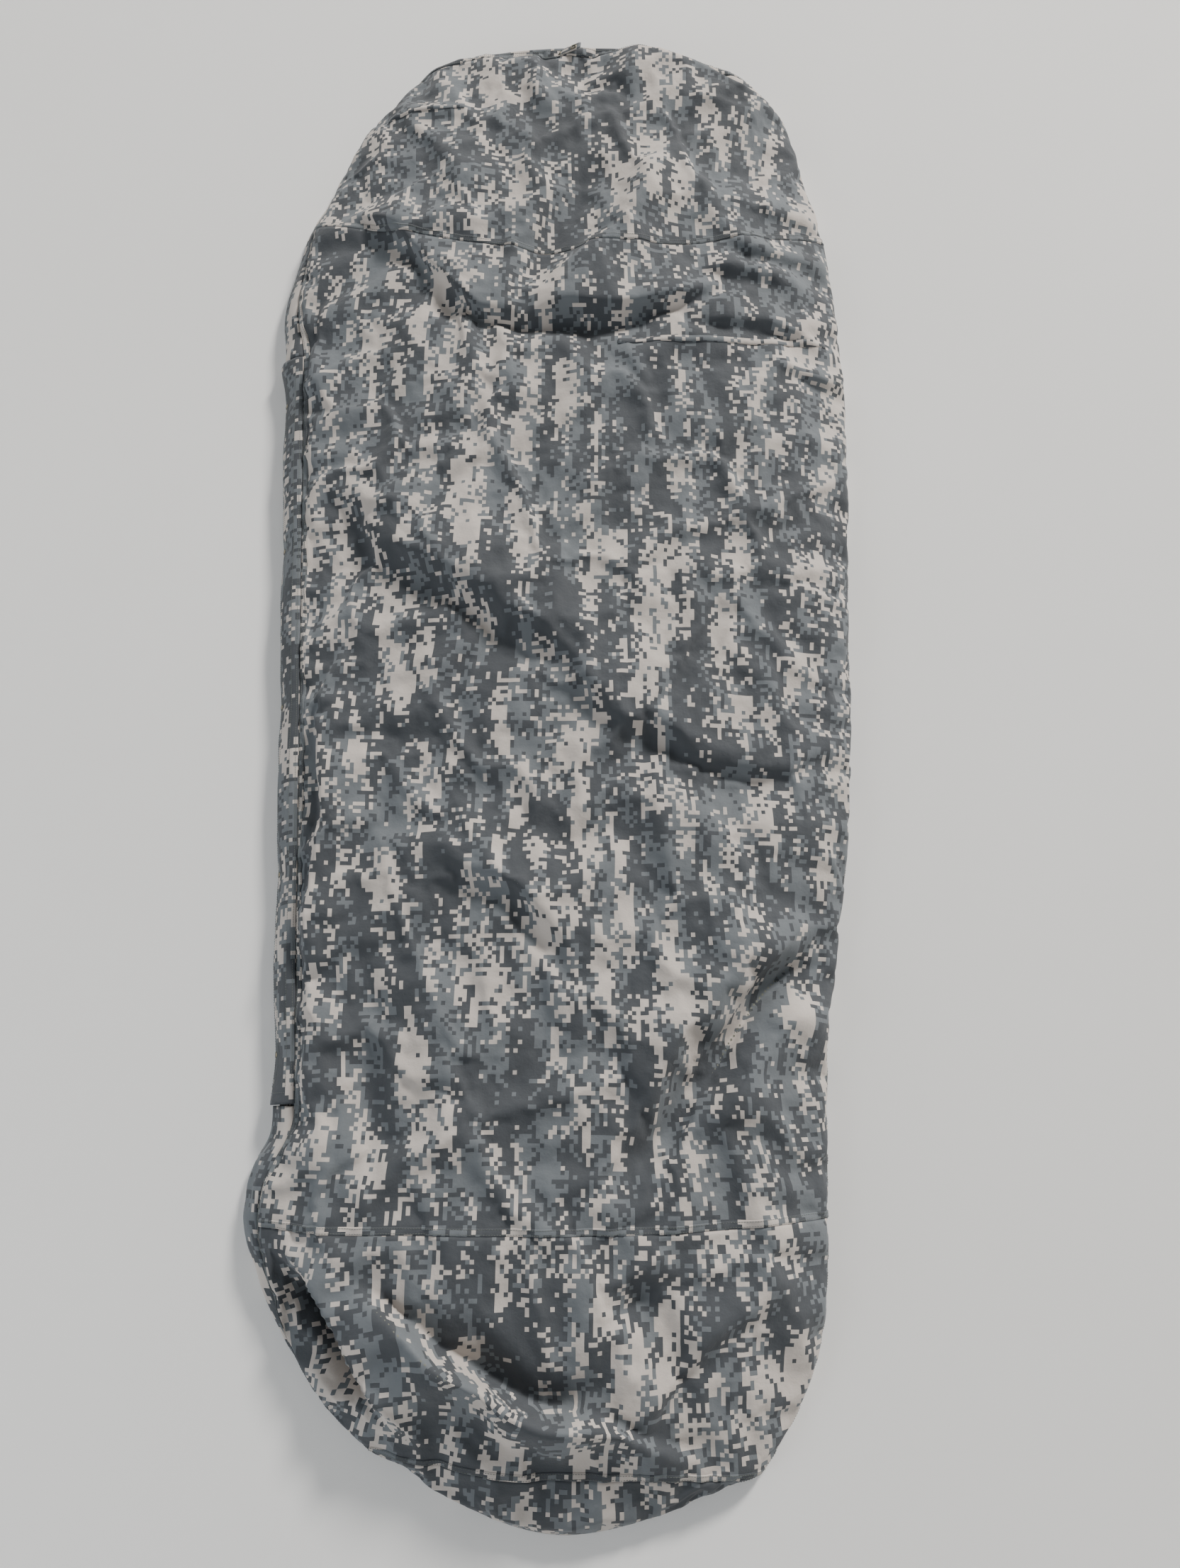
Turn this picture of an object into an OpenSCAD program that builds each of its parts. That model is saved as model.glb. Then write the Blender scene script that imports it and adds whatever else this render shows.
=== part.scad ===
// Bivy sack lying on its back, puffed a little with air, zipped and snapped shut.
// Millimetres, +Z up, +Y towards the hood, +X towards the side with no zip.
// The origin is on the ground under the middle of the sack.

/* [Shell] */
// Length from the foot end to the end of the hood's floor
shell_length = 2200; // [2000:10:2400]
// Width of the floor at the shoulders
shoulder_width = 864; // [800:4:940]
// Width of the floor at the knees
knee_width = 756; // [680:4:800]
// Height of the top above the floor at the chest
chest_height = 118; // [100:1:150]
// Height of the top above the floor at the knees
knee_height = 104; // [96:1:140]
// Thickness of a fabric skin
skin = 2; // [1.6:0.1:2.4]
// How far the floor's seam edge stands out past the walls
seam_margin = 6; // [4:0.5:8]

/* [Seams] */
// Where the hood's seam crosses the sack
hood_seam_y = 725; // [680:5:780]
// Where the seam below the knees crosses the sack
knee_seam_y = -750; // [-800:5:-700]
// Where the seam round the foot end lies
foot_seam_y = -1030; // [-1050:5:-1000]
// How far the hood's seam dips towards the foot
hood_seam_dip = 75; // [0:1:90]
// Width of the waterproof tape over a seam
tape_width = 22; // [16:1:28]

/* [Side zip] */
// Length of the straight wall that holds the zip
zip_wall_length = 1100; // [1000:10:1120]
// Slope of that wall above the ground, in degrees
wall_lean = 55; // [50:1:60]
// Height of the storm flap's seam above the floor
flap_seam_rise = 43; // [42:1:46]
// Width of the whole zip chain
chain_width = 4.8; // [4.6:0.1:5.2]
// Length of a slider
slider_length = 24; // [20:1:28]
// Length of a pull tab past its pin
pull_length = 32; // [24:1:34]

/* [Storm flap] */
// How far the flap's inner face stands off the wall, which leaves room for the sliders
flap_stand_off = 6.4; // [6.2:0.1:7]
// Number of snaps along the flap
snap_count = 5; // [3:1:6]

/* [Mouth] */
// Where the mouth's hem ends
mouth_y = 1054; // [1040:1:1060]
// Depth of the hem along the sack
hem_depth = 18; // [12:1:24]

/* [Hidden] */
$fn = 48;

camo_dark = [0.28, 0.32, 0.36];
camo_mid = [0.41, 0.45, 0.45];
camo_light = [0.66, 0.62, 0.57];
tape_grey = [0.62, 0.64, 0.62];
zip_green = [0.30, 0.33, 0.28];
metal = [0.20, 0.21, 0.20];

// The outline is straight from the knees to the shoulders, with a blunt round end on each side.
head_length = 600;
foot_length = 500;
shoulder_y = shell_length / 2 - head_length;
knee_y = -shell_length / 2 + foot_length;
head_power = 2.7;
foot_power = 2.4;
crown_power = 2.5;
crown_head_length = head_length + 10;

// 1 at no way along, falling to 0 at full, along a rounded corner of the given power.
function rounding(way, power) = pow(1 - pow(min(way, 1), power), 1 / power);

// A value that goes evenly from one end of the straight sides to the other.
function tapered(y, at_knee, at_shoulder) =
    at_knee + (at_shoulder - at_knee) * (min(max(y, knee_y), shoulder_y) - knee_y)
        / (shoulder_y - knee_y);

function past_shoulder(y, reach) = max(0, y - shoulder_y) / reach;
function past_knee(y) = max(0, knee_y - y) / foot_length;

// Half the floor's width at y.
function half_width(y) =
    tapered(y, knee_width / 2, shoulder_width / 2)
    * rounding(past_shoulder(y, head_length), head_power)
    * rounding(past_knee(y), foot_power);

// Height of the top above the floor's upper face at y.
function crown(y) =
    tapered(y, knee_height, chest_height)
    * rounding(past_shoulder(y, crown_head_length), crown_power)
    * rounding(past_knee(y), foot_power);

// Half the width between the walls' feet at y.
function wall_width(y) = half_width(y) - seam_margin;

// The strip on the zip side is as high as the flap's seam along the zip, and runs out to nothing
// at both ends.
strip_end = 1000;
function strip_rise(y) =
    flap_seam_rise * min(
        1,
        max(0, (strip_end - y) / (strip_end - shoulder_y)),
        max(0, (strip_end + y) / (strip_end + knee_y))
    );
function strip_inset(y) = strip_rise(y) / tan(wall_lean);
function strip_angle(y) = asin(strip_rise(y) / crown(y));

// The hood's seam sags towards the foot in the middle.
dip_reach = 220;
function dip(y) = hood_seam_dip * max(0, 1 - pow((y - hood_seam_y) / dip_reach, 2));

// One arch of the top at y, from the plain side's foot over to the zip side's strip.
// A positive depth is inside the outer face.
arch_steps = 26;
function arch(y, depth) = [
    for (step = [0:arch_steps])
        let (
            angle = (180 - strip_angle(y)) * step / arch_steps,
            zip_side = (wall_width(y) - strip_inset(y)) / cos(strip_angle(y)),
            reach = (angle < 90 ? wall_width(y) : zip_side) - depth
        )
        [reach * cos(angle), y - dip(y) * pow(sin(angle), 4), skin + (crown(y) - depth) * sin(angle)]
];

// Evenly spaced values from start to stop.
function spaced(start, stop, steps) = [for (i = [0:steps]) start + (stop - start) * i / steps];

// Faces between the rows of a grid of points that starts at a given point number.
function grid_faces(first, rows, columns, flip) = [
    for (row = [0:rows - 2], column = [0:columns - 2])
        let (
            a = first + row * columns + column,
            b = a + 1,
            c = b + columns,
            d = a + columns
        )
        each flip ? [[a, c, b], [a, d, c]] : [[a, b, c], [a, c, d]]
];

// Faces along one edge between the outer grid and the inner one, through the point numbers given.
function edge_faces(path, shift, flip) = [
    for (i = [0:len(path) - 2])
        let (a = path[i], b = path[i + 1])
        each flip
            ? [[a, b, b + shift], [a, b + shift, a + shift]]
            : [[a, b + shift, b], [a, a + shift, b + shift]]
];

function flatten(lists) = [for (list = lists) each list];

// A thin closed skin between two stacks of arches, open where the arches end.
module skin_between(outer, inner) {
    rows = len(outer);
    columns = len(outer[0]);
    count = rows * columns;
    polyhedron(
        points = concat(flatten(outer), flatten(inner)),
        faces = concat(
            grid_faces(0, rows, columns, false),
            grid_faces(count, rows, columns, true),
            edge_faces([for (column = [0:columns - 1]) column], count, false),
            edge_faces([for (column = [0:columns - 1]) (rows - 1) * columns + column], count, true),
            edge_faces([for (row = [0:rows - 1]) row * columns], count, true),
            edge_faces([for (row = [0:rows - 1]) row * columns + columns - 1], count, false)
        )
    );
}

// The same skin with its last arch closed by a flat end, as thick as the skin.
module closed_skin_between(outer, inner) {
    rows = len(outer);
    columns = len(outer[0]);
    count = rows * columns;
    last = (rows - 1) * columns;
    polyhedron(
        points = concat(flatten(outer), flatten(inner)),
        faces = concat(
            grid_faces(0, rows, columns, false),
            grid_faces(count, rows, columns, true),
            edge_faces([for (column = [0:columns - 1]) column], count, false),
            edge_faces([for (row = [0:rows - 1]) row * columns], count, true),
            edge_faces([for (row = [0:rows - 1]) row * columns + columns - 1], count, false),
            [for (column = [1:columns - 2]) [last, last + column, last + column + 1]],
            [for (column = [1:columns - 2])
                [count + last, count + last + column + 1, count + last + column]],
            [
                [last, last + columns - 1, count + last + columns - 1],
                [last, count + last + columns - 1, count + last]
            ]
        )
    );
}

// Part of the top from start to stop along the sack, between two depths.
module top_skin(start, stop, steps, outside, inside) {
    rows = spaced(start, stop, steps);
    skin_between([for (y = rows) arch(y, outside)], [for (y = rows) arch(y, inside)]);
}

// Waterproof tape under a seam of the top, clear of it where both curve.
tape_gap = 1.2;
tape_thickness = 0.6;
module cross_tape(y) {
    top_skin(y + tape_width / 2, y - tape_width / 2, 2, skin + tape_gap, skin + tape_gap + tape_thickness);
}

// ---- Floor ----

// The floor's outline, drawn in by a given distance.
end_step = 6;
function outline(inset) =
    let (
        wide = shoulder_width / 2 - inset,
        narrow = knee_width / 2 - inset,
        head = [for (angle = [0:end_step:90])
            [wide * pow(cos(angle), 2 / head_power),
             shoulder_y + (head_length - inset) * pow(sin(angle), 2 / head_power)]],
        foot = [for (angle = [90:-end_step:0])
            [narrow * pow(cos(angle), 2 / foot_power),
             knee_y - (foot_length - inset) * pow(sin(angle), 2 / foot_power)]],
        side = concat(foot, head)
    )
    concat(side, [for (i = [len(side) - 2:-1:1]) [-side[i].x, side[i].y]]);

module floor_panel() {
    color(camo_dark)
        linear_extrude(skin)
            polygon(outline(0));
}

// A flat band on the floor that follows its outline between two insets.
module floor_band(outer_inset, inner_inset, bottom, thickness) {
    translate([0, 0, bottom])
        linear_extrude(thickness)
            difference() {
                polygon(outline(outer_inset));
                polygon(outline(inner_inset));
            }
}

module floor_seam_tape() {
    seam_gap = 3;
    tape_inset = seam_margin + skin + seam_gap;
    color(tape_grey)
        intersection() {
            floor_band(tape_inset, tape_inset + tape_width, skin, tape_thickness);
            translate([-shoulder_width, -shell_length, 0])
                cube([2 * shoulder_width, shell_length + mouth_y - 2 * hem_depth, shell_length]);
        }
}

module hood_floor_hem() {
    hem_thickness = 1.6;
    hem_gap = 3;
    edge_gap = 0.5;
    color(camo_mid)
        intersection() {
            floor_band(edge_gap, hem_depth, skin, hem_thickness);
            translate([-shoulder_width, mouth_y + hem_gap, 0])
                cube([2 * shoulder_width, shell_length, shell_length]);
        }
}

// ---- Top ----

module top_head_panel() {
    color(camo_mid)
        top_skin(mouth_y - hem_depth, hood_seam_y, 12, 0, skin);
}

module top_body_panel() {
    color(camo_dark)
        top_skin(hood_seam_y, knee_seam_y, 30, 0, skin);
}

module top_foot_panel() {
    color(camo_light)
        top_skin(knee_seam_y, foot_seam_y, 12, 0, skin);
}

module foot_end_panel() {
    tip_y = -shell_length / 2 + 4;
    steps = 5;
    outer = spaced(foot_seam_y, tip_y, steps);
    inner = spaced(foot_seam_y, tip_y + skin, steps);
    color(camo_mid)
        closed_skin_between([for (y = outer) arch(y, 0)], [for (y = inner) arch(y, skin)]);
}

module seam_tape_hood() {
    color(tape_grey)
        cross_tape(hood_seam_y);
}

module seam_tape_knee() {
    color(tape_grey)
        cross_tape(knee_seam_y);
}

module seam_tape_foot() {
    color(tape_grey)
        cross_tape(foot_seam_y);
}

// ---- Mouth ----

hem_swell = 1.2;
module mouth_hem() {
    color(camo_light)
        top_skin(mouth_y, mouth_y - hem_depth, 2, -hem_swell, skin + hem_swell);
}

// The middle of the hem's outer face, sloped as the hem is there.
patch_gap = 0.4;
module on_hem() {
    middle = mouth_y - hem_depth / 2;
    fall = crown(mouth_y - hem_depth) - crown(mouth_y);
    translate([0, middle, skin + (crown(mouth_y) + crown(mouth_y - hem_depth)) / 2 + hem_swell])
        rotate([-atan(fall / hem_depth), 0, 0])
            translate([0, 0, patch_gap])
                children();
}

eyelet_x = 14;
eyelet_bore = 2.5;
eyelet_barrel = 3.4;
patch_thickness = 1.4;
module mouth_patch() {
    size = [52, hem_depth - 4, patch_thickness];
    color(camo_dark)
        on_hem()
            difference() {
                translate([-size.x / 2, -size.y / 2, 0])
                    cube(size);
                for (side = [-1, 1])
                    translate([side * eyelet_x, 0, -1])
                        cylinder(h = size.z + 2, r = eyelet_barrel);
            }
}

module mouth_eyelets() {
    collar = 5.6;
    collar_thickness = 0.8;
    color(metal)
        on_hem()
            for (side = [-1, 1])
                translate([side * eyelet_x, 0, 0])
                    rotate_extrude()
                        polygon([
                            [eyelet_bore, 0],
                            [eyelet_barrel, 0],
                            [eyelet_barrel, patch_thickness],
                            [collar, patch_thickness],
                            [collar, patch_thickness + collar_thickness],
                            [eyelet_bore, patch_thickness + collar_thickness]
                        ]);
}

// ---- Strip on the zip side, where there is no zip ----

strip_gap = 2;
strip_top_gap = 1.8;
strip_setback = 40;
strip_steps = 16;
// Where the strip is lower than this, the gap above it narrows with its height.
low_strip = 10;
function strip_row(y, outer) =
    let (
        top_gap = strip_top_gap * min(1, strip_rise(y) / low_strip),
        foot_x = -wall_width(y),
        top_x = foot_x + strip_inset(y),
        shift = outer ? 0 : skin
    )
    [[foot_x + shift, y, skin], [top_x + shift, y, skin + strip_rise(y) - top_gap]];

module side_strip(start, stop, steps) {
    rows = spaced(start, stop, steps);
    skin_between([for (y = rows) strip_row(y, true)], [for (y = rows) strip_row(y, false)]);
}

module side_strip_head() {
    color(camo_light)
        side_strip(shoulder_y + strip_gap, strip_end - strip_setback, strip_steps);
}

module side_strip_foot() {
    color(camo_light)
        side_strip(strip_setback - strip_end, knee_y - strip_gap, strip_steps);
}

// ---- Zip wall ----

// The wall's own frame: x goes up the wall, y along the zip towards the hood, and z out of the
// wall. Its zero is the middle of the wall's foot, on its outer face.
wall_middle_y = (shoulder_y + knee_y) / 2;
wall_turn = atan((wall_width(shoulder_y) - wall_width(knee_y)) / (shoulder_y - knee_y));
module on_wall() {
    translate([-wall_width(wall_middle_y), wall_middle_y, skin])
        rotate([0, 0, wall_turn])
            rotate([0, -wall_lean, 0])
                children();
}

// A block in the wall's frame, from one corner to the other.
module block(low, high) {
    translate(low)
        cube(high - low);
}

half_wall = zip_wall_length / 2;
wall_skin = 1.2;
wall_foot = 1.6;
strip_top = 17;
patch_length = 28;
chain_end = half_wall - patch_length - 8;
chain_x = 32;
coil_gap = 1.2;
coil_bottom = -3.4;
coil_top = -0.6;
tape_low = -2.6;
tape_high = -1.4;
tape_end = half_wall - patch_length - 1;
tape_foot = 14;
tape_head_gap = 0.6;
tape_head = flap_seam_rise / sin(wall_lean) - tape_head_gap;

module zip_side_strip() {
    color(camo_light)
        on_wall()
            block([wall_foot, -half_wall, -wall_skin], [strip_top, half_wall, 0]);
}

module zip_end_patch(side) {
    foot_gap = 0.3;
    head_gap = 2;
    near = side * (half_wall - patch_length);
    far = side * half_wall;
    color(camo_mid)
        on_wall()
            block([strip_top + foot_gap, min(near, far), -wall_skin], [tape_head - head_gap, max(near, far), 0]);
}

module zip_end_patch_head() {
    zip_end_patch(1);
}

module zip_end_patch_foot() {
    zip_end_patch(-1);
}

module zip_tape_lower() {
    color(zip_green)
        on_wall()
            block([tape_foot, -tape_end, tape_low], [chain_x - chain_width / 2, tape_end, tape_high]);
}

module zip_tape_upper() {
    color(zip_green)
        on_wall()
            block([chain_x + chain_width / 2, -tape_end, tape_low], [tape_head, tape_end, tape_high]);
}

module zip_coil(side) {
    near = chain_x + side * coil_gap / 2;
    far = chain_x + side * chain_width / 2;
    color(zip_green)
        on_wall()
            block([min(near, far), -chain_end, coil_bottom], [max(near, far), chain_end, coil_top]);
}

module zip_coil_lower() {
    zip_coil(-1);
}

module zip_coil_upper() {
    zip_coil(1);
}

stop_length = 5;
stop_swell = 0.4;
stop_gap = 0.2;
stops_half_gap = 0.3;
module zip_stops_head() {
    color(metal)
        on_wall()
            for (side = [-1, 1]) {
                inner = chain_x + side * stops_half_gap;
                outer = chain_x + side * chain_width / 2;
                block(
                    [min(inner, outer), chain_end + stop_gap, coil_bottom - stop_swell],
                    [max(inner, outer), chain_end + stop_gap + stop_length, coil_top + stop_swell]
                );
            }
}

module zip_stop_foot() {
    color(metal)
        on_wall()
            block(
                [chain_x - chain_width / 2, -chain_end - stop_gap - stop_length, coil_bottom - stop_swell],
                [chain_x + chain_width / 2, -chain_end - stop_gap, coil_top + stop_swell]
            );
}

// ---- Sliders and their pull tabs ----

slider_end_gap = 4;
slider_rest = chain_end - slider_length / 2 - slider_end_gap;
slider_width = 15;
plate = 1.6;
plate_gap = 0.2;
flange = 2;
flange_gap = 0.3;
post_width = 0.8;
post_length = 5;
bridge_width = 3;
bridge_length = 7;
pin_radius = 1;
pin_clearance = 0.08;
eye_z = 3.3;
eye_wall = 2.1;
top_plate_z = coil_top + plate_gap;
bottom_plate_z = coil_bottom - plate_gap - plate;

// A slider's plate outline: square at the mouth and round at the nose, on the wall's frame.
module slider_outline() {
    nose = slider_width / 2;
    translate([-slider_width / 2, -slider_length / 2])
        square([slider_width, slider_length - nose]);
    translate([0, slider_length / 2 - nose])
        circle(r = nose);
}

module slider_flanges(low, high) {
    translate([0, 0, low])
        linear_extrude(high - low)
            intersection() {
                slider_outline();
                for (side = [-1, 1])
                    translate([side * (slider_width - flange) / 2 - flange / 2, -slider_length / 2])
                        square([flange, slider_length]);
            }
}

// A slider round the middle of the chain, with its nose towards +y and the bridge on top.
module slider() {
    translate([0, 0, bottom_plate_z])
        linear_extrude(plate)
            slider_outline();
    translate([0, 0, top_plate_z])
        linear_extrude(plate)
            slider_outline();
    slider_flanges(tape_high + flange_gap, top_plate_z);
    slider_flanges(bottom_plate_z + plate, tape_low - flange_gap);
    block(
        [-post_width / 2, slider_length / 4, bottom_plate_z],
        [post_width / 2, slider_length / 4 + post_length, top_plate_z + plate]
    );
    slider_bridge();
}

module slider_bridge() {
    overlap = 0.1;
    foot_height = 1;
    base = top_plate_z + plate;
    translate([-bridge_width / 2, 0, eye_z])
        rotate([90, 0, 90])
            linear_extrude(bridge_width)
                difference() {
                    union() {
                        circle(r = eye_wall);
                        translate([-bridge_length / 2, base - eye_z - overlap])
                            square([bridge_length, foot_height]);
                        translate([-eye_wall, base - eye_z - overlap])
                            square([2 * eye_wall, eye_z - base + overlap]);
                    }
                    circle(r = pin_radius + pin_clearance);
                }
}

// A pull tab that lies along -y from its pin, with the pin's middle at zero.
module pull_tab() {
    width = 8;
    thickness = 1.6;
    slot = bridge_width + 0.6;
    slot_length = 6.5;
    grip_hole = 2;
    translate([0, 0, -thickness / 2])
        linear_extrude(thickness)
            difference() {
                union() {
                    translate([-width / 2, -pull_length + width / 2])
                        square([width, pull_length - width / 2 + pin_radius]);
                    translate([0, -pull_length + width / 2])
                        circle(r = width / 2);
                }
                translate([-slot / 2, -slot_length])
                    square([slot, slot_length + width]);
                translate([0, -pull_length + width / 2])
                    circle(r = grip_hole);
            }
    translate([-width / 2, 0, 0])
        rotate([0, 90, 0])
            cylinder(h = width, r = pin_radius);
}

// Places a slider, or what rides on it, at the hood's end of the chain or turned at the foot's end.
module at_slider(side) {
    on_wall()
        translate([chain_x, side * slider_rest, 0])
            rotate([0, 0, side > 0 ? 0 : 180])
                children();
}

module zip_slider_head() {
    color(metal)
        at_slider(1)
            slider();
}

module zip_slider_foot() {
    color(metal)
        at_slider(-1)
            slider();
}

module pull_tab_head() {
    color(metal)
        at_slider(1)
            translate([0, 0, eye_z])
                pull_tab();
}

module pull_tab_foot() {
    color(metal)
        at_slider(-1)
            translate([0, 0, eye_z])
                pull_tab();
}

// ---- Storm flap ----

flap_skin = 1.6;
flap_free_edge = 3;
flap_hinge = [51, 2.5];
flap_end_gap = 2;
module storm_flap() {
    bend = flap_hinge.x - 7;
    color(camo_mid)
        on_wall()
            translate([0, half_wall - flap_end_gap, 0])
                rotate([90, 0, 0])
                    linear_extrude(zip_wall_length - 2 * flap_end_gap)
                        polygon([
                            [flap_hinge.x, flap_hinge.y - flap_skin / 2],
                            [flap_hinge.x, flap_hinge.y + flap_skin / 2],
                            [bend, flap_stand_off + flap_skin],
                            [flap_free_edge, flap_stand_off + flap_skin],
                            [flap_free_edge, flap_stand_off],
                            [bend - 1, flap_stand_off]
                        ]);
}

snap_x = 9.5;
stud_radius = 3;
socket_clearance = 0.2;
snap_radius = 5;
snap_end_gap = 30;
function snap_y(i) = (2 * i / (snap_count - 1) - 1) * (chain_end - snap_end_gap);

module at_snaps() {
    on_wall()
        for (i = [0:snap_count - 1])
            translate([snap_x, snap_y(i), 0])
                children();
}

module flap_snap_caps() {
    cap_radius = 6.2;
    cap_height = 2;
    color(metal)
        at_snaps()
            translate([0, 0, flap_stand_off + flap_skin])
                cylinder(h = cap_height, r = cap_radius);
}

module flap_snap_sockets() {
    height = 3;
    color(metal)
        at_snaps()
            translate([0, 0, flap_stand_off - height])
                difference() {
                    cylinder(h = height, r = snap_radius);
                    translate([0, 0, -1])
                        cylinder(h = height, r = stud_radius + socket_clearance);
                }
}

module wall_snap_studs() {
    base = 1.4;
    stud = 3.8;
    color(metal)
        at_snaps() {
            cylinder(h = base, r = snap_radius);
            cylinder(h = base + stud, r = stud_radius);
        }
}

hook_patch = [22, 20, 1.5];
hook_patch_x = 21;
hook_patch_gap = 3;
module hook_or_loop(bottom) {
    on_wall()
        translate([hook_patch_x, half_wall - patch_length + hook_patch_gap, bottom])
            cube(hook_patch);
}

module flap_hook_patch() {
    color(camo_dark)
        hook_or_loop(flap_stand_off - hook_patch.z);
}

module wall_loop_patch() {
    color(camo_dark)
        hook_or_loop(0);
}

// ---- Inside: snaps that hold a sleeping bag, and a blank label ----

tab_size = [44, 20, 1.2];
tab_inset = 90;
tab_rows = [600, -60, -760];
socket_size = [6, 3];
socket_bore = 3.2;
module at_tabs() {
    for (y = tab_rows, side = [-1, 1])
        translate([side * (half_width(y) - tab_inset), y, skin])
            children();
}

module snap_tabs() {
    color(zip_green)
        at_tabs()
            translate([-tab_size.x / 2, -tab_size.y / 2, 0])
                cube(tab_size);
}

module snap_tab_sockets() {
    color(metal)
        at_tabs()
            translate([0, 0, tab_size.z])
                difference() {
                    cylinder(h = socket_size.y, r = socket_size.x);
                    translate([0, 0, -1])
                        cylinder(h = socket_size.y + 2, r = socket_bore);
                }
}

module blank_label() {
    size = [70, 45, 0.8];
    color([0.86, 0.86, 0.82])
        translate([-size.x / 2, foot_seam_y + 180, skin])
            cube(size);
}

floor_panel();
floor_seam_tape();
hood_floor_hem();
top_head_panel();
top_body_panel();
top_foot_panel();
foot_end_panel();
seam_tape_hood();
seam_tape_knee();
seam_tape_foot();
side_strip_head();
side_strip_foot();
zip_side_strip();
zip_end_patch_head();
zip_end_patch_foot();
mouth_hem();
mouth_patch();
mouth_eyelets();
zip_tape_upper();
zip_tape_lower();
zip_coil_upper();
zip_coil_lower();
zip_stops_head();
zip_stop_foot();
zip_slider_head();
zip_slider_foot();
pull_tab_head();
pull_tab_foot();
storm_flap();
flap_snap_caps();
flap_snap_sockets();
wall_snap_studs();
flap_hook_patch();
wall_loop_patch();
snap_tabs();
snap_tab_sockets();
blank_label();
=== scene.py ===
"""The looks of the bivy sack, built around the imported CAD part. All lengths are in metres.

The foot is at -Y and the hood at +Y. The zip and its storm flap are along the left side, at -X.
The top is one grid of points: arched rows from the foot edge to the mouth, sculpted with folds,
wrinkled by a cloth simulation and cut into panels at the seam rows.
"""

import math

import bpy
import numpy as np
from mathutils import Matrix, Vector


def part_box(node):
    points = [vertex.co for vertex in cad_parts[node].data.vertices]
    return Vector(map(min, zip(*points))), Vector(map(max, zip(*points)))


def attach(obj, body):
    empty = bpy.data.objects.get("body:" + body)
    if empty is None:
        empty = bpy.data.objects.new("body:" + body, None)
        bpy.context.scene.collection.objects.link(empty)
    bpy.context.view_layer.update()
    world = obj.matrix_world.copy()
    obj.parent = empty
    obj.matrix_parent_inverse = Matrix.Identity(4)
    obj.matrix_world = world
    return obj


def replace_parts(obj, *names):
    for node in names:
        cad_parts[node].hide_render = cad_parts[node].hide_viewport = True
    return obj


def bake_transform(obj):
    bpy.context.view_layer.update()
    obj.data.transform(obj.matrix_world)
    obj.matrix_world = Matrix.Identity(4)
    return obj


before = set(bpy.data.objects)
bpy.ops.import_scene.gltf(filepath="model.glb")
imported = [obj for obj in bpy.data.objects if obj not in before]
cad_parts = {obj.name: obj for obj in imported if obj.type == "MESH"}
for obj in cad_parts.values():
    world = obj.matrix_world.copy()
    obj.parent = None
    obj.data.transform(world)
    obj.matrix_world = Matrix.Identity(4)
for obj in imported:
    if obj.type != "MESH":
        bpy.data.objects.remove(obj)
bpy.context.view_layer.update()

# ---------------- sizes

FABRIC = 0.0009  # thickness of the shell cloth
CELL = 0.0053  # side of one square of the camouflage print
EDGE_Z = 0.004  # height of the seam between top and floor

# Rows of the top, named by the place of their middle along Y.
FOOT_EDGE, FOOT_SEAM, KNEE_SEAM, HOOD_SEAM = -1.102, -1.030, -0.752, 0.655
HEM_START, MOUTH, LIP = 1.036, 1.054, 1.098
ROW_STEP = 0.009
COLUMNS = 104
FINER = 2  # each grid cell is split this many ways after the simulation
ARCH_POWER = 0.85  # how full the cross-section of the top is
BEND_POWER = 1.8  # how late a row bends away from a straight line
SEAM_ALLOWANCE = 0.02

# The zip wall is a plane: up runs up the wall, along runs along the zip to the hood, out points outward.
LEAN = math.radians(55)
TURN = math.radians(2.8104)
WALL_FOOT = np.array([-0.399, -0.050, 0.002])
UP = np.array([math.cos(LEAN) * math.cos(TURN), math.cos(LEAN) * math.sin(TURN), math.sin(LEAN)])
ALONG = np.array([-math.sin(TURN), math.cos(TURN), 0])
OUT = np.array([-math.sin(LEAN) * math.cos(TURN), -math.sin(LEAN) * math.sin(TURN), math.cos(LEAN)])
WALL_HALF = 0.550
WALL_HEIGHT = 0.0519
STRIP_RISE = 0.0425
CHAIN_HALF = 0.514
SNAPS = [-0.484, -0.242, 0, 0.242, 0.484]
SNAP_UP = 0.0095


def on_wall(up, along, out):
    """Points given in the wall's own directions."""
    up, along, out = np.broadcast_arrays(up, along, out)
    return WALL_FOOT + up[..., None] * UP + along[..., None] * ALONG + out[..., None] * OUT


def past_wall(y):
    """How far a place lies beyond the ends of the zip wall. It is negative beside the wall."""
    return np.abs(y - WALL_FOOT[1]) - WALL_HALF


# ---------------- curves and numbers


def smooth_path(points, steps=8):
    """A Catmull-Rom curve through the points, with so many steps to each stretch."""
    p = np.array(points, float)
    return cubic(p, np.linspace(0, len(p) - 1, steps * (len(p) - 1) + 1))


def cubic(rows, at):
    """Catmull-Rom interpolation of an array along its first axis, at fractional row numbers."""
    rows = np.concatenate([2 * rows[:1] - rows[1:2], rows, 2 * rows[-1:] - rows[-2:-1]])
    at = np.asarray(at, float)
    i = np.clip(np.floor(at).astype(int), 0, len(rows) - 4)
    t = (at - i).reshape((-1,) + (1,) * (rows.ndim - 1))
    a, b, c, d = rows[i], rows[i + 1], rows[i + 2], rows[i + 3]
    return 0.5 * (2 * b + (c - a) * t + (2 * a - 5 * b + 4 * c - d) * t**2 + (3 * b - a - 3 * c + d) * t**3)


def profile(*points):
    """A smooth curve through (place, value) points, as a function of the place."""
    curve = smooth_path(points)
    return lambda y: np.interp(y, curve[:, 0], curve[:, 1])


def ease(x):
    """0 below 0, 1 above 1, and smooth between them."""
    x = np.clip(x, 0, 1)
    return x * x * (3 - 2 * x)


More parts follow.
